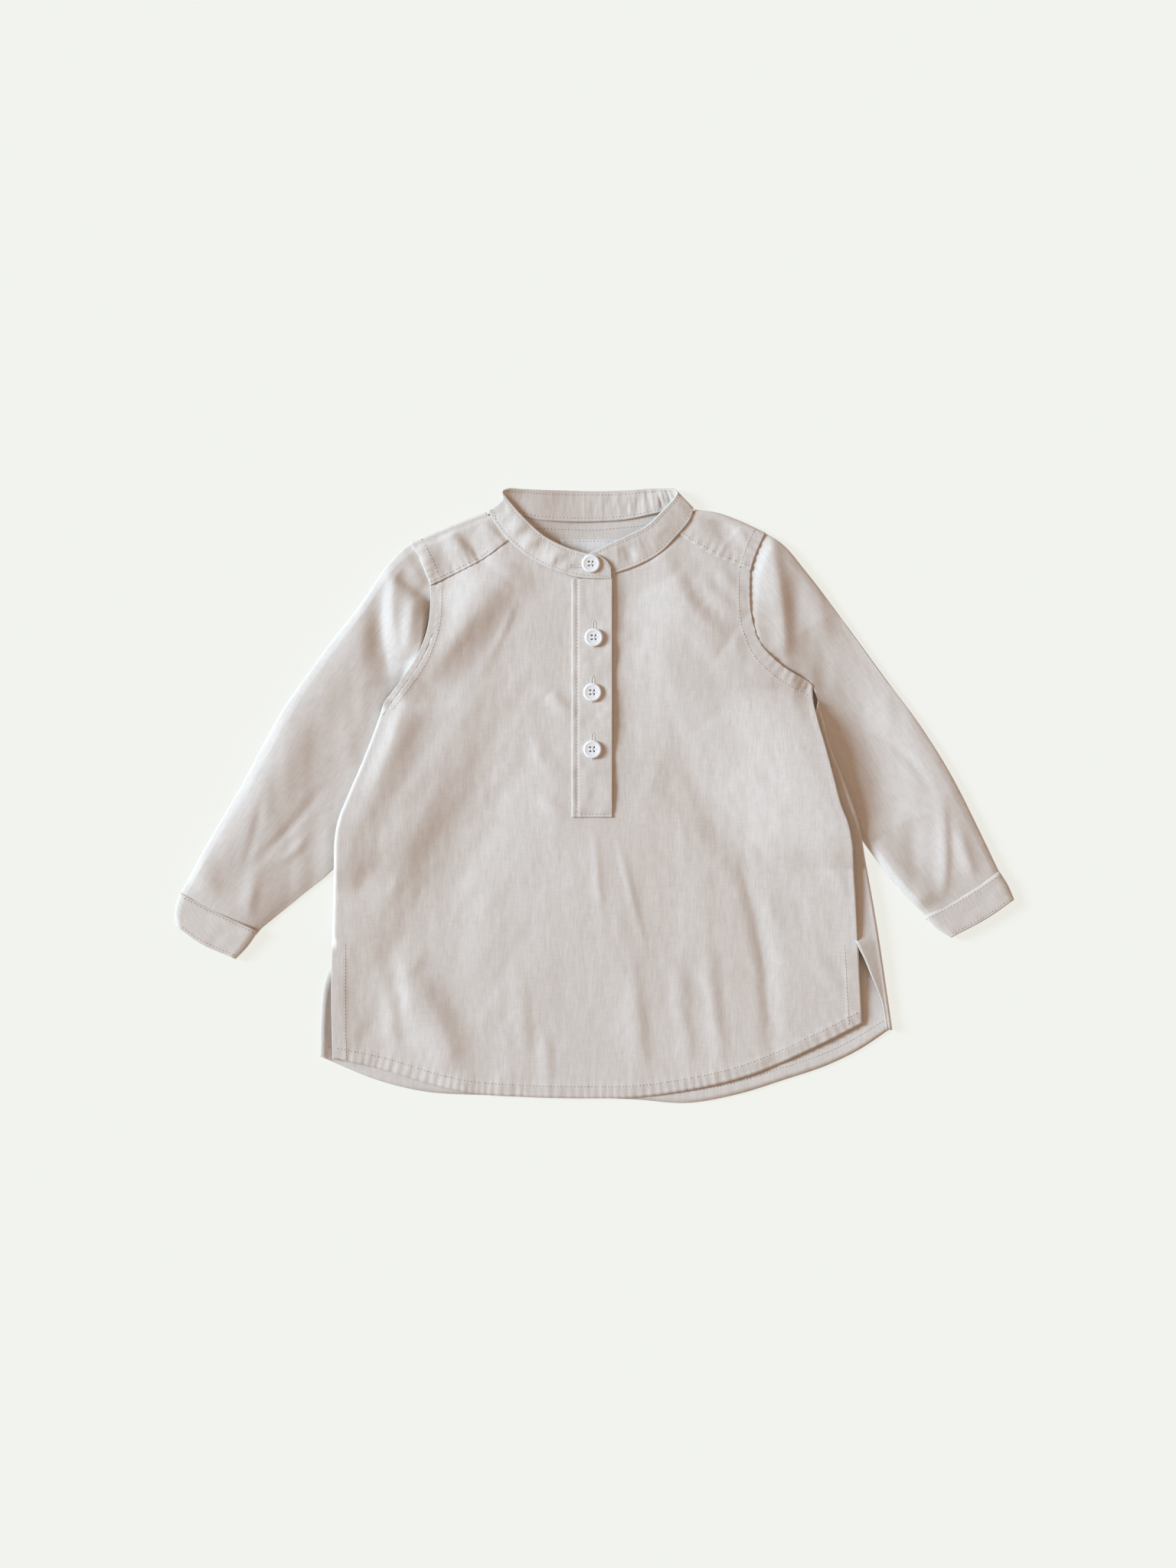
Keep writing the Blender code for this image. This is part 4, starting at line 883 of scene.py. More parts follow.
def front_height(x, y):
    """The front's own seams, hem and slit facings on top of the broad surface."""
    height = top_height(x, y) + folds(x, y, PLACKET_TROUGHS)
    beside_armhole = hill(nearest(x, y, ARMHOLE_LINE_RIGHT)[0], ARMHOLE_SWELL_WIDTH)
    height += ARMHOLE_SWELL * beside_armhole * ease((ARMHOLE_SWELL_TOP - y) / 14.0)
    height += seam_relief(x, y, HEM_LINE, 7.2, 0.45, 5.2, 9.0, 0.24, 41)
    for line, seed in ((SIDE_LINE_RIGHT, 43), (SIDE_LINE_LEFT, 45)):
        facing = seam_relief(x, y, line, 8.5, 0.25, 6.5, 9.0, 0.14, seed)
        height += facing * ease((-96.0 - y) / 12.0)
    side_seam = seam_relief(x, y, SIDE_LINE_LEFT, 2.0, 0.15, 7.0, 9.0, 0.14, 47)
    height += side_seam * ease((y + 100.0) / 8.0)
    for line in (YOKE_LINE_RIGHT, YOKE_LINE_LEFT):
        height -= 0.1 * hill(nearest(x, y, line)[0], 4.0)
    height -= HEM_FALL * (1 - ease(nearest(x, y, HEM_LINE)[0] / 10.0))
    beside_slit = hill(nearest(x, y, SIDE_LINE_LEFT)[0], 12.0)
    return height - SLIT_FALL * beside_slit * ease((-98.0 - y) / 12.0)


def front_place(u, v):
    body = np.clip((u - FRONT_TURN_SHARE) / (1 - FRONT_TURN_SHARE), 0.0, 1.0)
    over = np.clip(1 - u / FRONT_TURN_SHARE, 0.0, 1.0)
    point = front_plan(body, v)
    side = np.sign(np.round(u - FRONT_MIDDLE, 7))
    aside = point[:, 0] + front_aside(point, u, v, side)
    neck_after = np.interp(aside, front_top_line[:, 0], front_top_line[:, 1])
    neck_before = np.interp(point[:, 0], front_top_line[:, 0], front_top_line[:, 1])
    point[:, 1] += (1 - v) ** 3 * (neck_after - neck_before)
    point[:, 0] = aside
    width, angle = front_strip(v)
    out, down = turned(over / 1.5, width, angle, 0.0)
    top_edge = 1 - ease(v * 300.0 / 4.0)
    point[:, 1] += LAP * top_edge * (1 - over) * (1 - ease(body / CORNER_RUN))
    lapped = top_edge * (1 - over) * ease((1 - body) / CORNER_RUN)
    height = front_height(point[:, 0], point[:, 1]) - LAP_DROP * lapped
    down *= 1 + roll_right(point[:, 1]) / (FOLD_HEIGHT - ON_TABLE)
    point -= across(front_side, v, (0.0, 0.0)) * out[:, None] * (over > 0)[:, None]
    return np.column_stack([point, height - down])


# %% Slit and make the front
def slit(bm, column, row):
    """Opens a unit grid along a column, from its top edge down to a row."""

    def on_slit(vert):
        return abs(vert.co.x - column) < 1e-4 and vert.co.y > row - 1e-4

    bmesh.ops.split_edges(bm, edges=[edge for edge in bm.edges if all(map(on_slit, edge.verts))])
    for vert in bm.verts:
        if on_slit(vert) and vert.co.y > row + 1e-4:
            beside = vert.link_faces[0].calc_center_median().x
            vert.co.x += math.copysign(1e-5, beside - column)


shares = np.linspace(0.0, 1.0, 400)
middle_y = front_plan(0.0 * shares + 0.5, shares)[:, 1]
slit_rows = round(FRONT_ROWS * shares[np.argmin(np.abs(middle_y - SLIT_FOOT))])
front_bm = grid(FRONT_ALL, FRONT_ROWS)
slit(front_bm, FRONT_MIDDLE - 0.5, 0.5 - slit_rows / FRONT_ROWS)
placed(front_bm, front_place)
front = finished("front_panel", front_bm, body_cotton)
thicken(front, CLOTH_WALL)
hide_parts("front")
print("front area", round(area_of(front), 4), "m2")

# %% [markdown]
# ## The yoke
# One piece covers both shoulders. It starts at the right front seam, folds over the
# shoulder, lies flat inside the back and comes over the other shoulder. The front zones
# are stretched between their seams; each fold is a half turn between two layers.

# %% Yoke zones
YOKE_BACK = (
    (-64.6, 177.6, -112.0, 155.0), (-62.5, 178.4, -110.4, 149.6), (-55.0, 178.8, -106.4, 141.0),
    (-46.6, 177.4, -103.0, 131.9), (-36.0, 175.2, -80.0, 131.9), (-24.0, 174.2, -54.0, 131.9),
    (-11.0, 173.9, -27.0, 131.9), (1.4, 174.2, 0.0, 131.9), (13.0, 174.9, 26.0, 131.9),
    (25.0, 176.4, 52.0, 131.9), (36.0, 178.8, 76.0, 131.9), (46.0, 181.0, 97.0, 131.9),
    (51.0, 181.4, 97.4, 141.4), (57.0, 181.0, 101.2, 153.0), (59.6, 179.8, 103.4, 159.6),
)
# each zone and the share of the yoke's width where it ends
ZONES = (
    ("front_right", 0.18), ("turn_right", 0.24), ("back", 0.76), ("turn_left", 0.82),
    ("front_left", 1.0),
)
YOKE_COLUMNS, YOKE_ROWS = 200, 60

shoulder_right = smooth_curve(SHOULDER_RIGHT)
shoulder_left = smooth_curve(SHOULDER_LEFT)


def turned_shoulder(curve, share, angle):
    """A point on a shoulder fold, at an angle from its upper layer to its lower one."""
    inset = FOLD_RADIUS * (1 - np.sin(angle))
    height = FOLD_HEIGHT - FOLD_RADIUS * (1 - np.cos(angle))
    point = curve(blend(0.004, 0.998, share)) + across(curve, share, (0.0, 0.0)) * inset[:, None]
    return np.column_stack([point, height])


def front_zone(shoulder, seam, neck, armhole):
    """A front part of the yoke: from the shoulder (0) to its front seam (1)."""
    top = moved(shoulder, (0.0, 0.0), FOLD_RADIUS)
    top_first, top_last = ends(top)
    first = smooth_curve((top_first,) + neck + (seam[0],))
    last = smooth_curve((top_last,) + armhole + (seam[-1],))
    return stretched(top, smooth_curve(seam), first, last)


yoke_front_right = front_zone(
    shoulder_right, ((-52.4, 161.4),) + YOKE_SEAM_RIGHT[-2::-1],
    ((-61.6, 173.4), (-57.0, 168.0)),
    ((-111.4, 150.7), (-105.4, 137.5)),
)
yoke_front_left = front_zone(
    shoulder_left, ((50.6, 165.4),) + YOKE_SEAM_LEFT[1:], ((57.4, 174.6), (53.6, 169.6)),
    ((101.8, 153.1), (99.2, 146.0)),
)
yoke_back = through(np.linspace(0.0, 1.0, len(YOKE_BACK)), YOKE_BACK)


def yoke_height(x, y):
    """The yoke's edge lies on the front with its allowance turned up under it."""
    height = top_height(x, y)
    for line, seed in ((YOKE_LINE_RIGHT, 51), (YOKE_LINE_LEFT, 53)):
        height += 0.15 * hill(nearest(x, y, line)[0], 12.0)
        height += seam_relief(x, y, line, 3.0, 0.1, 5.5, 7.0, 0.22, seed)
    return height


def neck_swell(x, y):
    """How far the yoke lifts off the table inside the right half of the neck."""
    swell = 4.6 * hill(x + 47.0, 25.0)
    return swell * ease((y - 138.0) / 20.0) * ease((x + 68.0) / 18.0)


# %% Make the yoke
def yoke_place(u, v):
    points = np.zeros((len(u), 3))
    start = 0.0
    for name, end in ZONES:
        chosen = (u >= start - 1e-6) & (u <= end + 1e-6)
        share = np.clip((u[chosen] - start) / (end - start), 0.0, 1.0)
        way = v[chosen]
        if name.startswith("front"):
            plan = yoke_front_right if name == "front_right" else yoke_front_left
            flat = plan(way, 1 - share if name == "front_right" else share)
            near_fold = share if name == "front_right" else 1 - share
            height = yoke_height(flat[:, 0], flat[:, 1])
            height = blend(height, FOLD_HEIGHT, ease((near_fold - 0.8) / 0.2))
            points[chosen] = np.column_stack([flat, height])
        elif name == "back":
            row = yoke_back(share)
            flat = blend(row[:, :2], row[:, 2:], way[:, None])
            fold = ease(share / 0.02) * ease((1 - share) / 0.02)
            lower_right = turned_shoulder(shoulder_right, way, 0.0 * way + TURN)[:, :2]
            lower_left = turned_shoulder(shoulder_left, way, 0.0 * way + TURN)[:, :2]
            side = np.where((share < 0.5)[:, None], lower_right, lower_left)
            flat = blend(side, flat, fold[:, None])
            swell = neck_swell(flat[:, 0], flat[:, 1]) * fold
            points[chosen] = np.column_stack([flat, ON_TABLE + swell])
        else:
            curve = shoulder_right if name == "turn_right" else shoulder_left
            angle = TURN * (share if name == "turn_right" else 1 - share)
            points[chosen] = turned_shoulder(curve, way, angle)
        start = end
    return points


yoke = cloth("shoulder_yoke", YOKE_COLUMNS, YOKE_ROWS, yoke_place, CLOTH_WALL, yoke_cotton)
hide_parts("yoke")

# %% [markdown]
# ## Sleeves
# A sleeve laid flat is a tube pressed together: an upper and a lower layer that meet in
# two soft edges. Its cap runs in under the body, which is stitched on top of it. A short
# table gives the height of the upper layer along and across the sleeve, and its folds are
# listed one by one as the body's are.

# %% Sleeve heights and folds
WIDTH_SHARES = (0.0, 0.15, 0.4, 0.65, 0.88, 1.0)
# share of its length, then the upper layer's height at each share of its width
SLEEVE_RIGHT_HEIGHTS = (
    (0.00, 7.0, 7.0, 7.0, 6.0, 5.2, 5.0),
    (0.15, 7.6, 8.2, 7.4, 6.4, 5.4, 5.0),
    (0.35, 7.0, 8.0, 6.8, 5.0, 4.4, 4.2),
    (0.60, 6.6, 8.2, 6.6, 4.4, 3.2, 2.6),
    (0.80, 6.2, 8.0, 7.4, 5.2, 2.8, 1.0),
    (0.92, 6.0, 7.2, 6.6, 5.6, 3.2, 1.0),
    (1.00, 5.2, 5.6, 5.6, 5.4, 3.8, 2.2),
)
SLEEVE_LEFT_HEIGHTS = (
    (0.00, 6.0, 6.2, 6.2, 6.4, 6.6, 6.0),
    (0.15, 4.6, 6.2, 6.8, 7.2, 7.4, 7.4),
    (0.35, 4.0, 6.2, 7.6, 7.6, 8.0, 8.0),
    (0.60, 4.0, 6.0, 7.6, 7.4, 7.4, 7.4),
    (0.85, 4.4, 5.8, 6.8, 6.6, 6.0, 4.6),
    (1.00, 5.0, 5.6, 5.6, 5.6, 5.4, 4.6),
)
SLEEVE_RIGHT_FOLDS = (
    (-124.0, 147.0, -125.5, 118.0, -120.0, 82.0, 6, 18, 3.8),
    (-112.5, 127.0, -114.0, 110.0, -117.5, 82.0, 6, 9, 3.8),
    (-133.0, 131.0, -134.4, 105.1, -129.1, 72.0, 9, 4, -1.6),
    (-125.0, 139.0, -114.7, 131.5, -102.0, 124.0, 3, 9, -3.0),
    (-144.0, 122.0, -147.5, 94.0, -142.0, 64.0, 16, 10, 1.4),
    (-190.0, 56.0, -200.0, 20.0, -218.0, -14.0, 14, 18, 1.8),
    (-170.4, 4.3, -190.6, -19.7, -214.6, -44.6, 3, 3, -0.8),
    (-207.4, -0.5, -214.1, -26.9, -220.3, -49.4, 3, 3, -0.6),
    (-181.0, -25.4, -186.7, -33.1, -196.3, -40.8, 3, 3, 0.9),
    (-212.6, -47.5, -215.5, -62.9, -219.4, -78.2, 5, 4, 1.0),
    (-244.3, -33.1, -247.2, -50.9, -240.5, -68.6, 9, 10, 1.6),
    (-147.4, 49.9, -154.6, 30.7, -156.0, 13.9, 8, 8, 0.9),
)
SLEEVE_LEFT_FOLDS = (
    (108.0, 162.0, 115.0, 130.0, 119.0, 82.0, 12, 6, 3.4),
    (131.0, 112.0, 158.0, 66.0, 196.0, -24.0, 20, 24, -6.3),
    (137.8, 136.3, 142.6, 110.9, 147.4, 87.8, 9, 4, 0.5),
    (180.0, 37.0, 195.8, 24.5, 209.8, 4.3, 3, 3, -0.6),
    (217.9, -2.9, 219.8, -34.1, 218.4, -67.7, 5, 3, 1.2),
    (227.0, -19.7, 232.8, -37.9, 239.5, -57.1, 5, 4, 1.2),
    (172.0, -27.0, 193.0, -56.0, 219.0, -79.0, 4, 13, 3.4),
)
CAP_RUN = 0.12
SLEEVE_SIDES, SLEEVE_ROWS = 144, 180
SLEEVE_LENGTH = 250.0
CUFF_TUCK = 2.6  # how far a sleeve's end runs in under its cuff

# %% Where a sleeve's points go
def sleeve_place(armhole, seam, outer, inner, heights, rows, seed, into_cuff):
    cap = moved(smooth_curve(armhole[:7]), (0.0, 100.0), LAP)
    middle_line = blend(np.array(outer[4]), np.array(inner[6]), 0.5)
    outer_edge = moved(smooth_curve(outer), middle_line, CLOTH_WALL / 2)
    inner_edge = moved(smooth_curve(inner), middle_line, CLOTH_WALL / 2)
    plan = stretched(cap, smooth_curve(seam), outer_edge, inner_edge)
    by_length = through([row[0] for row in heights], [row[1:] for row in heights])
    by_width = through(WIDTH_SHARES, np.eye(len(WIDTH_SHARES)))

    def at(u, v):
        angle = 2 * math.pi * u
        width_share = (1 - np.cos(angle)) / 2
        point = plan(width_share, v)
        body = cap(width_share)
        drop = LAP_DROP * (1 - ease((v * SLEEVE_LENGTH - LAP) / 7.0))
        cap_height = broad_height(body[:, 0], body[:, 1]) - drop
        own = np.sum(by_length(v) * by_width(width_share), axis=1)
        height = blend(cap_height, own, ease(v / CAP_RUN))
        round_edge = np.minimum(np.abs(np.sin(angle)) / 0.5, 1.0) ** 0.6
        middle = (height + ON_TABLE) / 2
        half = (height - ON_TABLE) / 2 * round_edge
        relief = folds(point[:, 0], point[:, 1], rows)
        relief += 0.3 * uneven(point[:, 0], point[:, 1], 8.0, 26.0, seed)
        relief *= round_edge * ease((v * SLEEVE_LENGTH - LAP) / 8.0) * ease((1 - v) / 0.06)
        tucked = ease((v - 0.985) / 0.015)
        point = point + np.array(into_cuff) * (CUFF_TUCK * tucked)[:, None]
        half -= 0.3 * tucked * round_edge
        top = np.sin(angle) > 1e-6
        return np.column_stack([point, np.where(top, middle + half + relief, middle - half)])

    return at


# %% Make both sleeves
right_sleeve_place = sleeve_place(
    ARMHOLE_RIGHT, CUFF_SEAM_RIGHT, OUTER_RIGHT, INNER_RIGHT, SLEEVE_RIGHT_HEIGHTS,
    SLEEVE_RIGHT_FOLDS, 61, (-0.42, -0.91),
)
left_sleeve_place = sleeve_place(
    ARMHOLE_LEFT, CUFF_SEAM_LEFT, OUTER_LEFT, INNER_LEFT, SLEEVE_LEFT_HEIGHTS,
    SLEEVE_LEFT_FOLDS, 63, (0.48, -0.88),
)
sleeve_right = tube(
    "long_sleeve_right", SLEEVE_SIDES, SLEEVE_ROWS, right_sleeve_place, CLOTH_WALL,
    cotton("ecru_cotton_sleeve_right", -33.0),
)
sleeve_left = tube(
    "long_sleeve_left", SLEEVE_SIDES, SLEEVE_ROWS, left_sleeve_place, CLOTH_WALL,
    cotton("ecru_cotton_sleeve_left", 33.0),
)
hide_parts("sleeve_right")
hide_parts("sleeve_left")

# %% [markdown]
# ## Cuffs
# Each cuff is a narrow band of two layers, sewn over the sleeve's end, so it starts a
# little outside the sleeve and hides its raw edge.

# %% Make both cuffs
CUFF_HEIGHT = 5.6
CUFF_SIDES, CUFF_ROWS = 96, 22


def cuff_place(seam, end, outer, inner, seed):
    plan = stretched(*map(smooth_curve, (seam, end, outer, inner)))

    def at(u, v):
        angle = 2 * math.pi * u
        point = plan((1 - np.cos(angle)) / 2, v)
        round_edge = np.sign(np.sin(angle)) * np.minimum(np.abs(np.sin(angle)) / 0.5, 1.0) ** 0.6
        round_edge = np.where(np.abs(np.sin(angle)) < 1e-6, 0.0, round_edge)
        top = CUFF_HEIGHT + 0.2 * hill(v - 0.06, 0.1) - 0.8 * v
        top += 0.25 * uneven(point[:, 0], point[:, 1], 7.0, 7.0, seed) - 0.6 * hill(v, 0.07)
        middle = (top + BAND_ON_TABLE) / 2
        return np.column_stack([point, middle + (top - BAND_ON_TABLE) / 2 * round_edge])

    return at


right_cuff_place = cuff_place(
    CUFF_SEAM_RIGHT, CUFF_END_RIGHT, CUFF_OUTER_RIGHT, CUFF_INNER_RIGHT, 71
)
left_cuff_place = cuff_place(CUFF_SEAM_LEFT, CUFF_END_LEFT, CUFF_OUTER_LEFT, CUFF_INNER_LEFT, 73)
cuff_cotton = cotton("ecru_cotton_cuffs", 30.0)
cuff_right = tube(
    "sleeve_cuff_right", CUFF_SIDES, CUFF_ROWS, right_cuff_place, BAND_WALL, cuff_cotton
)
cuff_left = tube(
    "sleeve_cuff_left", CUFF_SIDES, CUFF_ROWS, left_cuff_place, BAND_WALL, cuff_cotton
)
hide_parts("cuff_right")
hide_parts("cuff_left")

# %% [markdown]
# ## The band collar
# The collar is one ribbon of two layers round the neck. In front it leans out over the
# body and shows its outside; at the back it lies down and shows its inside. Each row of
# the table is one cut across the ribbon: where its seam is and where its top edge is.

# %% Sections of the collar band
# seam x, y, z and top edge x, y, z, from its upper end round the neck to its lower end
BAND_ROWS = (
    (10.6, 135.8, 8.9, 10.2, 142.4, 9.2),
    (8.8, 135.7, 8.9, 8.4, 145.8, 9.3),
    (5.0, 135.7, 9.0, 4.0, 149.6, 9.2),
    (-8.2, 136.2, 9.0, -6.0, 151.9, 8.8),
    (-22.6, 140.0, 8.3, -17.8, 155.6, 8.2),
    (-37.0, 146.4, 7.4, -31.2, 162.4, 7.8),
    (-51.4, 157.2, 6.6, -42.6, 172.6, 7.8),
    (-60.4, 167.3, 5.8, -51.4, 182.0, 8.4),
    (-66.0, 176.4, 5.6, -56.8, 188.8, 9.4),
    (-66.9, 178.1, 5.7, -58.0, 190.6, 9.9),
    (-63.4, 178.6, 5.4, -55.4, 192.0, 9.0),
    (-54.0, 177.3, 5.2, -46.0, 192.0, 6.6),
    (-37.0, 173.1, 4.6, -33.0, 191.6, 4.9),
    (-18.0, 171.8, 2.6, -17.0, 191.3, 2.4),
    (1.4, 171.9, 1.5, 1.0, 191.0, 1.3),
    (20.6, 173.3, 1.3, 19.5, 191.5, 1.2),
    (37.0, 176.8, 1.6, 34.5, 192.4, 1.9),
    (50.0, 179.8, 2.1, 45.0, 192.4, 3.0),
    (58.0, 181.0, 2.4, 49.0, 192.0, 4.2),
    (61.6, 179.9, 4.2, 51.4, 190.2, 6.2),
    (60.4, 174.4, 4.8, 50.0, 187.0, 6.8),
    (56.4, 168.3, 4.8, 46.4, 182.9, 6.8),
    (51.4, 162.7, 5.0, 41.8, 178.0, 6.9),
    (41.8, 152.6, 5.7, 33.4, 170.0, 6.9),
    (27.6, 144.5, 6.7, 21.0, 163.3, 7.1),
    (11.0, 138.8, 7.3, 10.6, 158.6, 7.2),
    (-2.0, 136.2, 7.2, -2.4, 152.4, 7.2),
    (-11.0, 137.2, 7.1, -11.0, 149.6, 6.8),
)
BAND_PINCH = 4.0
BAND_COLUMNS, BAND_LEVELS = 440, 18

band_table = np.array(BAND_ROWS)
band_middle = (band_table[:, :3] + band_table[:, 3:]) / 2
band_steps = np.linalg.norm(np.diff(band_middle, axis=0), axis=1)
BAND_LENGTH = float(band_steps.sum())
band_section = through(np.concatenate([[0.0], np.cumsum(band_steps)]) / BAND_LENGTH, band_table)
print("collar length", round(BAND_LENGTH), "mm")

# how strongly the band puckers, by the share of its length from its upper end
band_pucker = through(
    (0.0, 0.06, 0.16, 0.30, 0.38, 0.46, 0.54, 0.62, 0.68, 0.72, 0.80, 0.92, 1.0),
    (0.10, 0.18, 0.14, 0.06, 0.05, 0.08, 0.20, 0.55, 0.85, 0.16, 0.10, 0.14, 0.05),
)
# listed one by one as the body's folds are
COLLAR_FOLDS = (
    (-52.3, 164.2, -47.0, 168.5, -40.8, 173.3, 5, 3, 1.3),
    (-45.1, 154.1, -39.8, 158.9, -34.1, 163.7, 5, 3, 1.2),
    (-34.1, 142.6, -26.4, 148.3, -16.8, 154.1, 6, 4, 1.5),
    (-22.6, 139.7, -16.8, 144.5, -11.0, 149.3, 3, 3, 0.6),
    (14.9, 155.0, 21.6, 152.2, 23.5, 143.5, 5, 3, -1.2),
    (36.0, 160.0, 40.0, 165.0, 46.0, 169.0, 3, 3, 0.3),
)
BAND_LIP = 0.2

# %% Make the collar
def collar_place(u, v):
    both = band_section(u)
    point = blend(both[:, 3:], both[:, :3], v[:, None])
    near_fold = hill(point[:, 0] + 62.0, 7.0) * ease((point[:, 1] - 172.0) / 6.0)
    point[:, 0] += BAND_PINCH * near_fold * 4 * v * (1 - v)
    along = u * BAND_LENGTH
    belly = np.sin(math.pi * np.clip(v, 0.0, 1.0)) ** 0.7
    pucker = uneven(along, v * 1.4, 2.7, 1.0, 81) + 0.4 * uneven(along, v * 3.0, 1.6, 1.0, 82)
    shown = 1 - ease((u - 0.88) / 0.04)
    placed_folds = folds(point[:, 0], point[:, 1], COLLAR_FOLDS) * shown
    point[:, 2] += (band_pucker(u) * pucker + placed_folds) * belly
    grooves = hill(v - 0.13, 0.06) + hill(v - 0.87, 0.06)
    lips = ease((v - 0.93) / 0.04) + ease((0.06 - v) / 0.04)
    point[:, 2] += BAND_LIP * lips - 0.12 * grooves
    point[:, 2] = np.maximum(point[:, 2], BAND_ON_TABLE + 0.2)
    return point


collar = cloth(
    "band_collar", BAND_COLUMNS, BAND_LEVELS, collar_place, BAND_WALL, cotton("ecru_cotton_collar")
)
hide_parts("collar_stand")

# %% [markdown]
# ## The placket
# Two strips close the front. The button band fills the slit and carries the buttons; the
# buttonhole band lies on it, stitched down at its right edge and foot. Its left edge is
# free, so it stands off unevenly and throws a shadow.

# %% Make the two strips
PLACKET_RIGHT_EDGE = -14.4
PLACKET_LEFT_EDGE = 11.0
STITCHED_EDGE = -11.2
free_rise = by_y((
    (-14.0, 0.0), (-8.0, 0.5), (4.0, 0.6), (14.0, 0.3), (22.0, 0.1), (42.0, 0.4), (54.0, 0.5),
    (69.0, 0.1), (88.0, 0.2), (108.0, 0.15), (136.0, 0.1),
))


def under_strip(u, v):
    x = blend(SLIT_RIGHT_EDGE - LAP, SLIT_LEFT_EDGE + 1.2, u)
    y = blend(PLACKET_TOP, UNDER_FOOT, v)
    return np.column_stack([x, y, top_height(x, y) - 0.1])


def over_strip(u, v):
    x = blend(PLACKET_RIGHT_EDGE, PLACKET_LEFT_EDGE, u)
    y = blend(PLACKET_TOP + 1.0, PLACKET_FOOT, v)
    groove = 0.35 * hill(x - STITCHED_EDGE, 1.1)
    foot_groove = 0.3 * hill(y + 11.8, 1.1)
    free = free_rise(y) * ease((u - 0.55) / 0.45)
    ripple = 0.22 * uneven(x, y, 14.0, 9.0, 91) + 0.15 * uneven(x, y, 5.0, 5.0, 92)
    edge = 0.1 * ease(u / 0.06)
    height = top_height(x, y) + 0.7 + edge + free + ripple - groove - foot_groove
    return np.column_stack([x, y, height])


button_band = cloth("button_band", 24, 140, under_strip, CLOTH_WALL, body_cotton)
buttonhole_band = cloth("buttonhole_band", 40, 200, over_strip, STRIP_WALL, body_cotton)
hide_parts("placket_under")
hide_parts("placket_over")

# %% [markdown]
# ## The label
# A small woven label is sewn inside the back of the neck. It is left blank here.

# %% Make the label
LABEL_RIGHT, LABEL_LEFT = -21.6, 16.8
LABEL_TOP, LABEL_FOOT = 160.6, 142.0
LABEL_HEIGHT = 1.3


def label_place(u, v):
    x = blend(LABEL_RIGHT, LABEL_LEFT, u)
    y = blend(LABEL_TOP, LABEL_FOOT, v)
    bow = 0.5 * np.sin(math.pi * u) * v + 0.08 * uneven(x, y, 6.0, 6.0, 95) + neck_swell(x, y)
    return np.column_stack([x, y, LABEL_HEIGHT + bow])


label_cotton = cotton("label_tape", 0.0, (0.80, 0.77, 0.74))
label = cloth("neck_label_blank", 48, 24, label_place, LABEL_WALL, label_cotton)
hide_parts("neck_label")

# %% [markdown]
# ## Stitches
# A stitch is a short bead of thread half sunk into the cloth. At its end sits a dark bead
# of painted shade: a needle hole is a pit too small to model, so its shade is painted on.
# Each bead is a low icosphere, because hundreds of them in a row read as a topstitched
# seam. A ray cast down (or up, for the hidden side) finds the cloth under a stitch; the
# collar's stitches follow the function that shapes the collar.

# %% Beads of thread
STITCH_LENGTH = 1.55
STITCH_PITCH = 2.15
STITCH_WIDTH = 0.42
STITCH_AHEAD = 0.6  # how far ahead and behind a stitch looks for its direction
# width of the dark bead that paints the needle hole's shade
NEEDLE_SHADE_WIDTH = 0.6
thread_material = cotton("sewing_thread", 0.0, (0.76, 0.71, 0.66))
# dark brown painted shade for the needle holes: the shade inside each pit, not a colour of cloth
# or thread
needle_shade_material = cotton("needle_hole_painted_shade", 0.0, (0.30, 0.235, 0.19))


def surface_of(piece):
    """A ray target for a piece's middle surface."""
    bm = bmesh.new()
    bm.from_mesh(piece.data)
    target = BVHTree.FromBMesh(bm)
    bm.free()
    return target


def bead(bm, point, along, up, length, width):
    """One bead of thread at a point, lying along a direction."""
    made = bmesh.ops.create_icosphere(bm, subdivisions=1, radius=1.0)
    aside = up.cross(along).normalized()
    along = aside.cross(up).normalized()
    turn = Matrix((along, aside, up.normalized())).transposed().to_4x4()
    size = Matrix.Diagonal((length / 2 * MM, width / 2 * MM, width / 2 * MM, 1.0))
    bmesh.ops.transform(bm, matrix=Matrix.Translation(point) @ turn @ size, verts=made["verts"])


def on_cloth(target, x, y, wall, below=False):
    """Point and outward direction of a piece's outer face over (or under) a plan point."""
    start = Vector((x * MM, y * MM, -0.05 if below else 0.08))
    ray = Vector((0.0, 0.0, 1.0 if below else -1.0))
    point, normal, _, _ = target.ray_cast(start, ray)
    if point is None:
        return None, None
    if normal.dot(ray) > 0:
        normal = -normal
    return point + normal * wall / 2 * MM, normal


def stitched(bm, piece_target, wall, line, below=False):
    """Stitches at even steps along a plan line, laid on a piece."""
    line = np.array(line, float)
    reach = reach_of(line)
    count = max(int(reach[-1] / STITCH_PITCH), 1)
    for index in range(count):
        middle = (index + 0.5) * reach[-1] / count
        ends_at = [
            Vector([np.interp(middle + step, reach, line[:, axis]) for axis in (0, 1)])
            for step in (-STITCH_AHEAD, STITCH_AHEAD)
        ]
        centre = (ends_at[0] + ends_at[1]) / 2
        point, up = on_cloth(piece_target, centre.x, centre.y, wall, below)
        if point is None:
            continue
        direction = Vector((*(ends_at[1] - ends_at[0]), 0.0)).normalized()
        direction -= up * direction.dot(up)
        stitch(bm, point, direction, up)


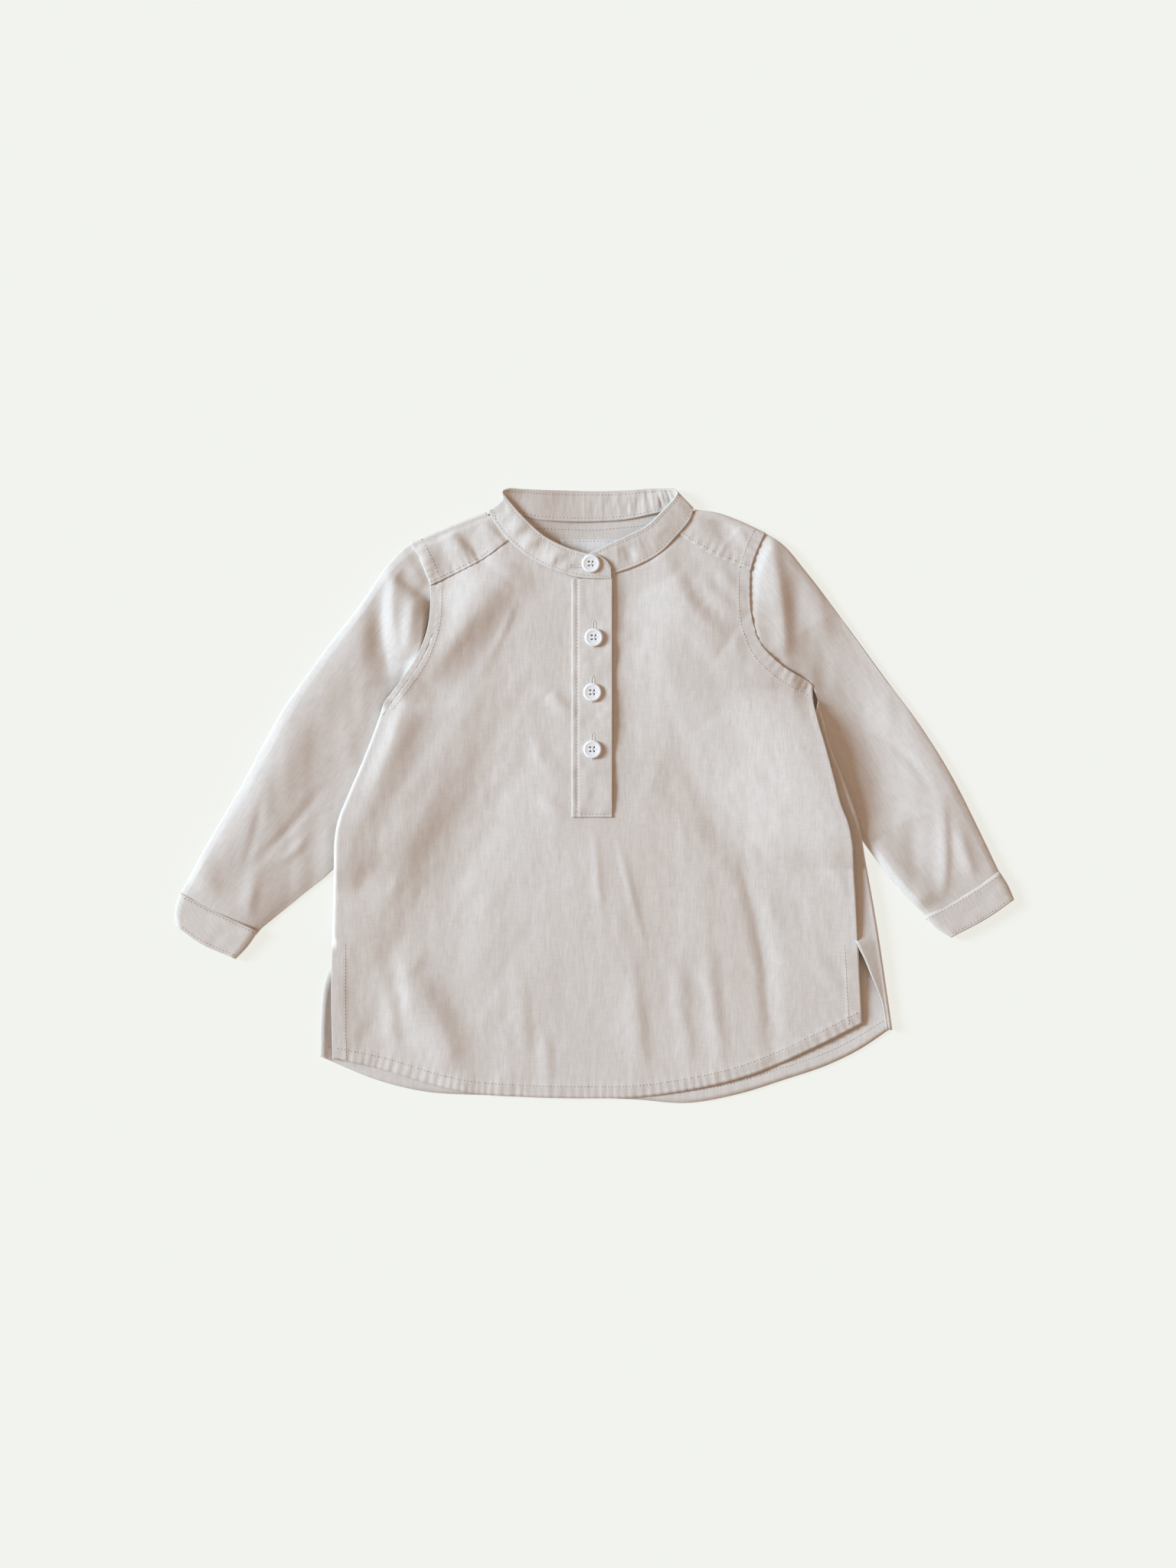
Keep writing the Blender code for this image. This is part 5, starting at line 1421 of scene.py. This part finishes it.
def stitch(bm, point, direction, up):
    """One bead of thread, and a dark bead of painted shade for the needle hole at its end."""
    bead(bm, point, direction, up, STITCH_LENGTH, STITCH_WIDTH)
    first = len(bm.faces)
    # the needle hole is a dark bead in the painted-shade material (index 1)
    hole = point + direction.normalized() * STITCH_PITCH / 2 * MM
    bead(bm, hole - up * 0.1 * MM, direction, up, NEEDLE_SHADE_WIDTH * 1.3, NEEDLE_SHADE_WIDTH)
    bm.faces.ensure_lookup_table()
    for face in bm.faces[first:]:
        face.material_index = 1


def stitch_piece(name, bm):
    print(name, len(bm.faces) // 20, "beads")
    piece = finished(name, bm, thread_material)
    # material index 1 holds the painted shade of the needle holes
    piece.data.materials.append(needle_shade_material)
    return piece


# %% Topstitching on the body
def inside_line(points, inside, amount, start=0.0, end=1.0, count=60):
    """A line that follows an edge at an even distance inside it."""
    return moved(smooth_curve(points), inside, amount)(np.linspace(start, end, count))


front_target = surface_of(front)
yoke_target = surface_of(yoke)
back_target = surface_of(back)
stitches = bmesh.new()
stitched(stitches, front_target, CLOTH_WALL, inside_line(ARMHOLE_RIGHT[3:], (0.0, 60.0), 7.2))
stitched(stitches, front_target, CLOTH_WALL, inside_line(ARMHOLE_LEFT[2:], (0.0, 60.0), 7.2))
stitched(stitches, yoke_target, CLOTH_WALL, inside_line(ARMHOLE_RIGHT[:4], (0.0, 60.0), 7.2))
stitched(stitches, yoke_target, CLOTH_WALL, inside_line(ARMHOLE_LEFT[:3], (0.0, 60.0), 7.2))
for seam in (YOKE_SEAM_RIGHT, YOKE_SEAM_LEFT):
    stitched(stitches, yoke_target, CLOTH_WALL, inside_line(seam, (0.0, 200.0), 2.2))
stitched(stitches, front_target, CLOTH_WALL, inside_line(HEM_FRONT, (0.0, 0.0), 7.4, count=120))
stitched(stitches, back_target, CLOTH_WALL, inside_line(HEM_BACK, (0.0, 0.0), 7.4, count=120))
for edge in (SIDE_RIGHT[-3:], SEAM_LEFT[-3:]):
    stitched(stitches, front_target, CLOTH_WALL, inside_line(edge, (0.0, -130.0), 8.6))
stitch_piece("stitches_body", stitches)

# %% Topstitching on the placket, cuffs and label
strip_target = surface_of(buttonhole_band)
stitches = bmesh.new()
stitched(stitches, strip_target, STRIP_WALL, ((STITCHED_EDGE, 134.0), (STITCHED_EDGE, -11.8)))
stitched(stitches, strip_target, STRIP_WALL, ((-12.6, -11.8), (8.4, -11.8)))
stitch_piece("stitches_placket", stitches)
stitches = bmesh.new()
for cuff, seam, end in (
    (cuff_right, CUFF_SEAM_RIGHT, CUFF_END_RIGHT), (cuff_left, CUFF_SEAM_LEFT, CUFF_END_LEFT),
):
    target = surface_of(cuff)
    toward = tuple(np.mean(np.array(end), axis=0))
    away = tuple(np.mean(np.array(seam), axis=0))
    for below in (False, True):
        stitched(stitches, target, BAND_WALL, inside_line(seam, toward, 2.0, 0.04, 0.96), below)
        stitched(stitches, target, BAND_WALL, inside_line(end, away, 2.0, 0.04, 0.96), below)
stitch_piece("stitches_cuffs", stitches)
stitches = bmesh.new()
label_target = surface_of(label)
stitched(stitches, label_target, LABEL_WALL, ((-20.6, 159.6), (15.8, 159.6)))
stitched(stitches, yoke_target, CLOTH_WALL, ((-38.0, 167.6), (0.0, 166.4), (38.0, 170.2)))
stitch_piece("stitches_neck_inside", stitches)

# %% Topstitching on the collar
def band_stitches(name, level, face):
    """A line of stitches along the collar at a level between its top edge and its seam."""
    bm = bmesh.new()
    count = int(BAND_LENGTH / STITCH_PITCH)
    middle = (np.arange(count) + 0.5) / count
    step = STITCH_AHEAD / BAND_LENGTH
    here = collar_place(middle, 0.0 * middle + level)
    ahead = collar_place(middle + step, 0.0 * middle + level) - here
    down = collar_place(middle, 0.0 * middle + level + 0.04) - here
    for point, along, fall in zip(here, ahead, down):
        up = Vector(along).cross(Vector(fall)).normalized() * face
        place = (Vector(point) + up * BAND_WALL / 2) * MM
        stitch(bm, place, Vector(along).normalized(), up)
    return stitch_piece(name, bm)


for level, level_name in ((0.13, "top"), (0.88, "seam")):
    for face, face_name in ((1, "a"), (-1, "b")):
        band_stitches(f"stitches_collar_{level_name}_{face_name}", level, face)

# %% [markdown]
# ## Buttons
# The shirt has four-hole buttons of about eleven and a half millimetres. A button is
# turned on a lathe, so we spin its profile, with a raised rim round a shallow dish, and
# cut four round holes. Two crossing threads hold it to the cloth.

# %% Button profile and holes
BUTTON_HEIGHT = 2.4
HOLE_RADIUS = 0.58
HOLE_SPACING = 2.3
# radius and height of points on the profile, from the middle of the back to the dish
BUTTON_PROFILE = (
    (0.0, 0.0), (4.6, 0.0), (5.3, 0.35), (5.65, 0.8), (5.75, 1.2), (5.7, 1.6), (5.5, 2.0),
    (5.2, 2.2), (4.8, 2.26), (4.4, 2.22), (4.0, 2.12), (3.6, 2.05), (3.0, 2.0), (0.0, 2.0),
)


def spun_button():
    bm = bmesh.new()
    ring = [bm.verts.new((radius * MM, 0.0, height * MM)) for radius, height in BUTTON_PROFILE]
    edges = [bm.edges.new(pair) for pair in zip(ring, ring[1:])]
    bmesh.ops.spin(
        bm, geom=ring + edges, axis=(0, 0, 1), cent=(0, 0, 0), angle=2 * math.pi, steps=48,
        use_merge=True, use_duplicate=False,
    )
    bmesh.ops.remove_doubles(bm, verts=bm.verts, dist=0.01 * MM)
    bmesh.ops.recalc_face_normals(bm, faces=bm.faces)
    mesh = bpy.data.meshes.new("button_turned")
    bm.to_mesh(mesh)
    bm.free()
    return mesh


def hole_pegs():
    bm = bmesh.new()
    for x in (-1, 1):
        for y in (-1, 1):
            peg = bmesh.ops.create_cone(
                bm, cap_ends=True, segments=16, radius1=HOLE_RADIUS * MM, radius2=HOLE_RADIUS * MM,
                depth=4 * BUTTON_HEIGHT * MM,
            )
            shift = Vector((x, y, 0.0)) * HOLE_SPACING / 2 * MM
            bmesh.ops.translate(bm, verts=peg["verts"], vec=shift)
    mesh = bpy.data.meshes.new("button_pegs")
    bm.to_mesh(mesh)
    bm.free()
    return mesh


# %% Cut the holes once
blank = bpy.data.objects.new("button_blank", spun_button())
pegs = bpy.data.objects.new("button_pegs", hole_pegs())
for helper in (blank, pegs):
    bpy.context.scene.collection.objects.link(helper)
cut = blank.modifiers.new("holes", "BOOLEAN")
cut.operation = "DIFFERENCE"
cut.solver = "EXACT"
cut.object = pegs
depsgraph = bpy.context.evaluated_depsgraph_get()
drilled = bpy.data.meshes.new_from_object(blank.evaluated_get(depsgraph))
for helper in (blank, pegs):
    bpy.data.objects.remove(helper, do_unlink=True)
print("button faces:", len(drilled.polygons))

# %% Button material
def button_finish():
    """White moulded resin, with faint clouds in it and a soft gloss."""
    material = bpy.data.materials.new("white_resin")
    material.use_nodes = True
    tree = material.node_tree
    shader = tree.nodes["Principled BSDF"]
    place = tree.nodes.new("ShaderNodeTexCoord")
    clouds = add_node(tree, "ShaderNodeTexNoise", Scale=380.0, Detail=2.0)
    ramp = tree.nodes.new("ShaderNodeValToRGB")
    ramp.color_ramp.elements[0].color = (0.82, 0.83, 0.84, 1.0)
    ramp.color_ramp.elements[1].color = (0.88, 0.885, 0.89, 1.0)
    tree.links.new(place.outputs["Object"], clouds.inputs["Vector"])
    tree.links.new(clouds.outputs["Fac"], ramp.inputs["Fac"])
    tree.links.new(ramp.outputs["Color"], shader.inputs["Base Color"])
    shader.inputs["Roughness"].default_value = 0.32
    shader.inputs["Coat Weight"].default_value = 0.15
    return material


# %% Sew on the buttons
# x, y, tilt up towards the collar in degrees
BUTTONS = ((-2.4, 145.2, 2.0), (-0.6, 99.0, 1.5), (-1.5, 64.6, 0.0), (-1.5, 28.9, 0.0))
THREAD_CROSS = 45.0
THREAD_LENGTH = 3.3
THREAD_WIDTH = 0.34
THREAD_HEIGHT = 2.02
resin = button_finish()
white_thread = cotton("white_thread", 0.0, (0.86, 0.84, 0.81))
collar_target = surface_of(collar)
for number, (x, y, tilt) in enumerate(BUTTONS, start=1):
    target, wall = (collar_target, BAND_WALL) if number == 1 else (strip_target, STRIP_WALL)
    point, _ = on_cloth(target, x, y, wall)
    height = point.z / MM + (-0.45 if number == 1 else -0.05)
    place = Matrix.Translation(Vector((x, y, height)) * MM)
    place = place @ Matrix.Rotation(math.radians(tilt), 4, "X")
    bm = bmesh.new()
    bm.from_mesh(drilled)
    bmesh.ops.transform(bm, matrix=place, verts=bm.verts)
    button = finished(f"shirt_button_{number}", bm, resin)
    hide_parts(f"button_{number}")
    bm = bmesh.new()
    middle = place @ Vector((0.0, 0.0, THREAD_HEIGHT * MM))
    for angle in (THREAD_CROSS, -THREAD_CROSS):
        direction = Vector((math.cos(math.radians(angle)), math.sin(math.radians(angle)), 0.0))
        bead(bm, middle, direction, Vector((0.0, 0.0, 1.0)), THREAD_LENGTH, THREAD_WIDTH)
    finished(f"button_thread_{number}", bm, white_thread)
    print("button", number, "stands at", round(height, 2), "mm")

# %% [markdown]
# ## Buttonholes
# A buttonhole is a slot with close bar stitches round it. Most of it hides under its
# button, but its ends show above and below.

# %% Work the buttonholes
# x, y of the middle, half length, True if it lies across
BUTTONHOLES = (
    (-9.4, 143.8, 6.4, True), (-0.4, 100.8, 8.2, False), (-1.2, 66.2, 8.2, False),
    (-1.2, 30.6, 8.2, False),
)
BAR_STEP = 0.5
BAR_LENGTH = 1.3
SLOT_HALF_WIDTH = 0.9


def worked_hole(target, wall, middle_x, middle_y, half, lies_across):
    """Bar stitches round a slot, laid on the cloth."""
    bm = bmesh.new()
    straight = half - SLOT_HALF_WIDTH
    count = int((4 * straight + 2 * math.pi * SLOT_HALF_WIDTH) / BAR_STEP)
    reach = np.linspace(0.0, 4 * straight + 2 * math.pi * SLOT_HALF_WIDTH, count, endpoint=False)
    turn_length = math.pi * SLOT_HALF_WIDTH
    for length in reach:
        side, rest = divmod(length, 2 * straight + turn_length)
        sign = 1 - 2 * side
        if rest < 2 * straight:
            spot, out = Vector((rest - straight, -SLOT_HALF_WIDTH)), Vector((0.0, -1.0))
        else:
            angle = (rest - 2 * straight) / SLOT_HALF_WIDTH - math.pi / 2
            out = Vector((math.cos(angle), math.sin(angle)))
            spot = Vector((straight, 0.0)) + out * SLOT_HALF_WIDTH
        spot, out = spot * sign, out * sign
        if not lies_across:
            spot, out = Vector((-spot.y, spot.x)), Vector((-out.y, out.x))
        point, up = on_cloth(target, middle_x + spot.x, middle_y + spot.y, wall)
        if point is not None:
            bead(bm, point, Vector((*out, 0.0)), up, BAR_LENGTH, 0.5)
    return bm


for number, (x, y, half, lies_across) in enumerate(BUTTONHOLES, start=1):
    target, wall = (collar_target, BAND_WALL) if number == 1 else (strip_target, STRIP_WALL)
    stitch_piece(f"buttonhole_{number}", worked_hole(target, wall, x, y, half, lies_across))

# %% [markdown]
# ## Sheet areas
# Each sheet's area is printed as it is made; tubes are measured all round.

# %% [markdown]
# ## Floor and light
# The shirt lies on a plain pale floor. A low soft light from the left rakes across it, as
# window light does, and brings out each fold; a warm fill keeps the shadows open.

# %% Floor
def floor_finish():
    material = bpy.data.materials.new("pale_floor")
    material.use_nodes = True
    tree = material.node_tree
    tree.nodes.clear()
    out = tree.nodes.new("ShaderNodeOutputMaterial")
    glow = add_node(tree, "ShaderNodeEmission", Color=(0.896, 0.905, 0.855, 1.0))
    matt = add_node(tree, "ShaderNodeBsdfDiffuse", Color=(0.9, 0.9, 0.88, 1.0))
    mix = add_node(tree, "ShaderNodeMixShader", Fac=0.15)
    tree.links.new(glow.outputs[0], mix.inputs[1])
    tree.links.new(matt.outputs[0], mix.inputs[2])
    tree.links.new(mix.outputs[0], out.inputs["Surface"])
    return material


floor_bm = bmesh.new()
bmesh.ops.create_grid(floor_bm, x_segments=1, y_segments=1, size=6.0)
floor_mesh = bpy.data.meshes.new("floor")
floor_bm.to_mesh(floor_mesh)
floor_bm.free()
floor_mesh.materials.append(floor_finish())
floor = bpy.data.objects.new("floor", floor_mesh)
floor.location.z = -0.0002
bpy.context.scene.collection.objects.link(floor)

# %% Light
KEY_ELEVATION = 26.0
KEY_AZIMUTH = 168.0
key_data = bpy.data.lights.new("window_light", "SUN")
key_data.energy = 4.22
key_data.color = (0.75, 1.0, 1.23)
key_data.angle = math.radians(20.0)
key = bpy.data.objects.new("window_light", key_data)
towards = Vector((
    math.cos(math.radians(KEY_ELEVATION)) * math.cos(math.radians(KEY_AZIMUTH)),
    math.cos(math.radians(KEY_ELEVATION)) * math.sin(math.radians(KEY_AZIMUTH)),
    math.sin(math.radians(KEY_ELEVATION)),
))
key.rotation_euler = towards.to_track_quat("Z", "Y").to_euler()
bpy.context.scene.collection.objects.link(key)

world = bpy.data.worlds.new("room")
world.use_nodes = True
room = world.node_tree
fill = room.nodes["Background"]
fill.inputs["Color"].default_value = (0.47, 0.335, 0.245, 1.0)
pale = add_node(room, "ShaderNodeBackground", Color=(0.896, 0.905, 0.855, 1.0))
seen = room.nodes.new("ShaderNodeLightPath")
either = room.nodes.new("ShaderNodeMixShader")
room.links.new(seen.outputs["Is Camera Ray"], either.inputs["Fac"])
room.links.new(fill.outputs[0], either.inputs[1])
room.links.new(pale.outputs[0], either.inputs[2])
room.links.new(either.outputs[0], room.nodes["World Output"].inputs["Surface"])
bpy.context.scene.world = world
bpy.context.scene.view_settings.view_transform = "Standard"

# %% [markdown]
# ## Camera
# The camera looks straight down from three metres, far enough that the raised cloth does
# not lean outwards. The long side of its sensor is the picture's height.

# %% Camera
CAMERA_HEIGHT = 3.0
VIEW_HEIGHT = 0.983
AIM = (-0.0043, 0.0072)
CLOTH_LEVEL = 0.006
camera_data = bpy.data.cameras.new("overhead")
camera_data.sensor_width = 36.0
camera_data.lens = 36.0 * (CAMERA_HEIGHT - CLOTH_LEVEL) / VIEW_HEIGHT
camera = bpy.data.objects.new("overhead", camera_data)
camera.location = (*AIM, CAMERA_HEIGHT)
bpy.context.scene.collection.objects.link(camera)
bpy.context.scene.camera = camera
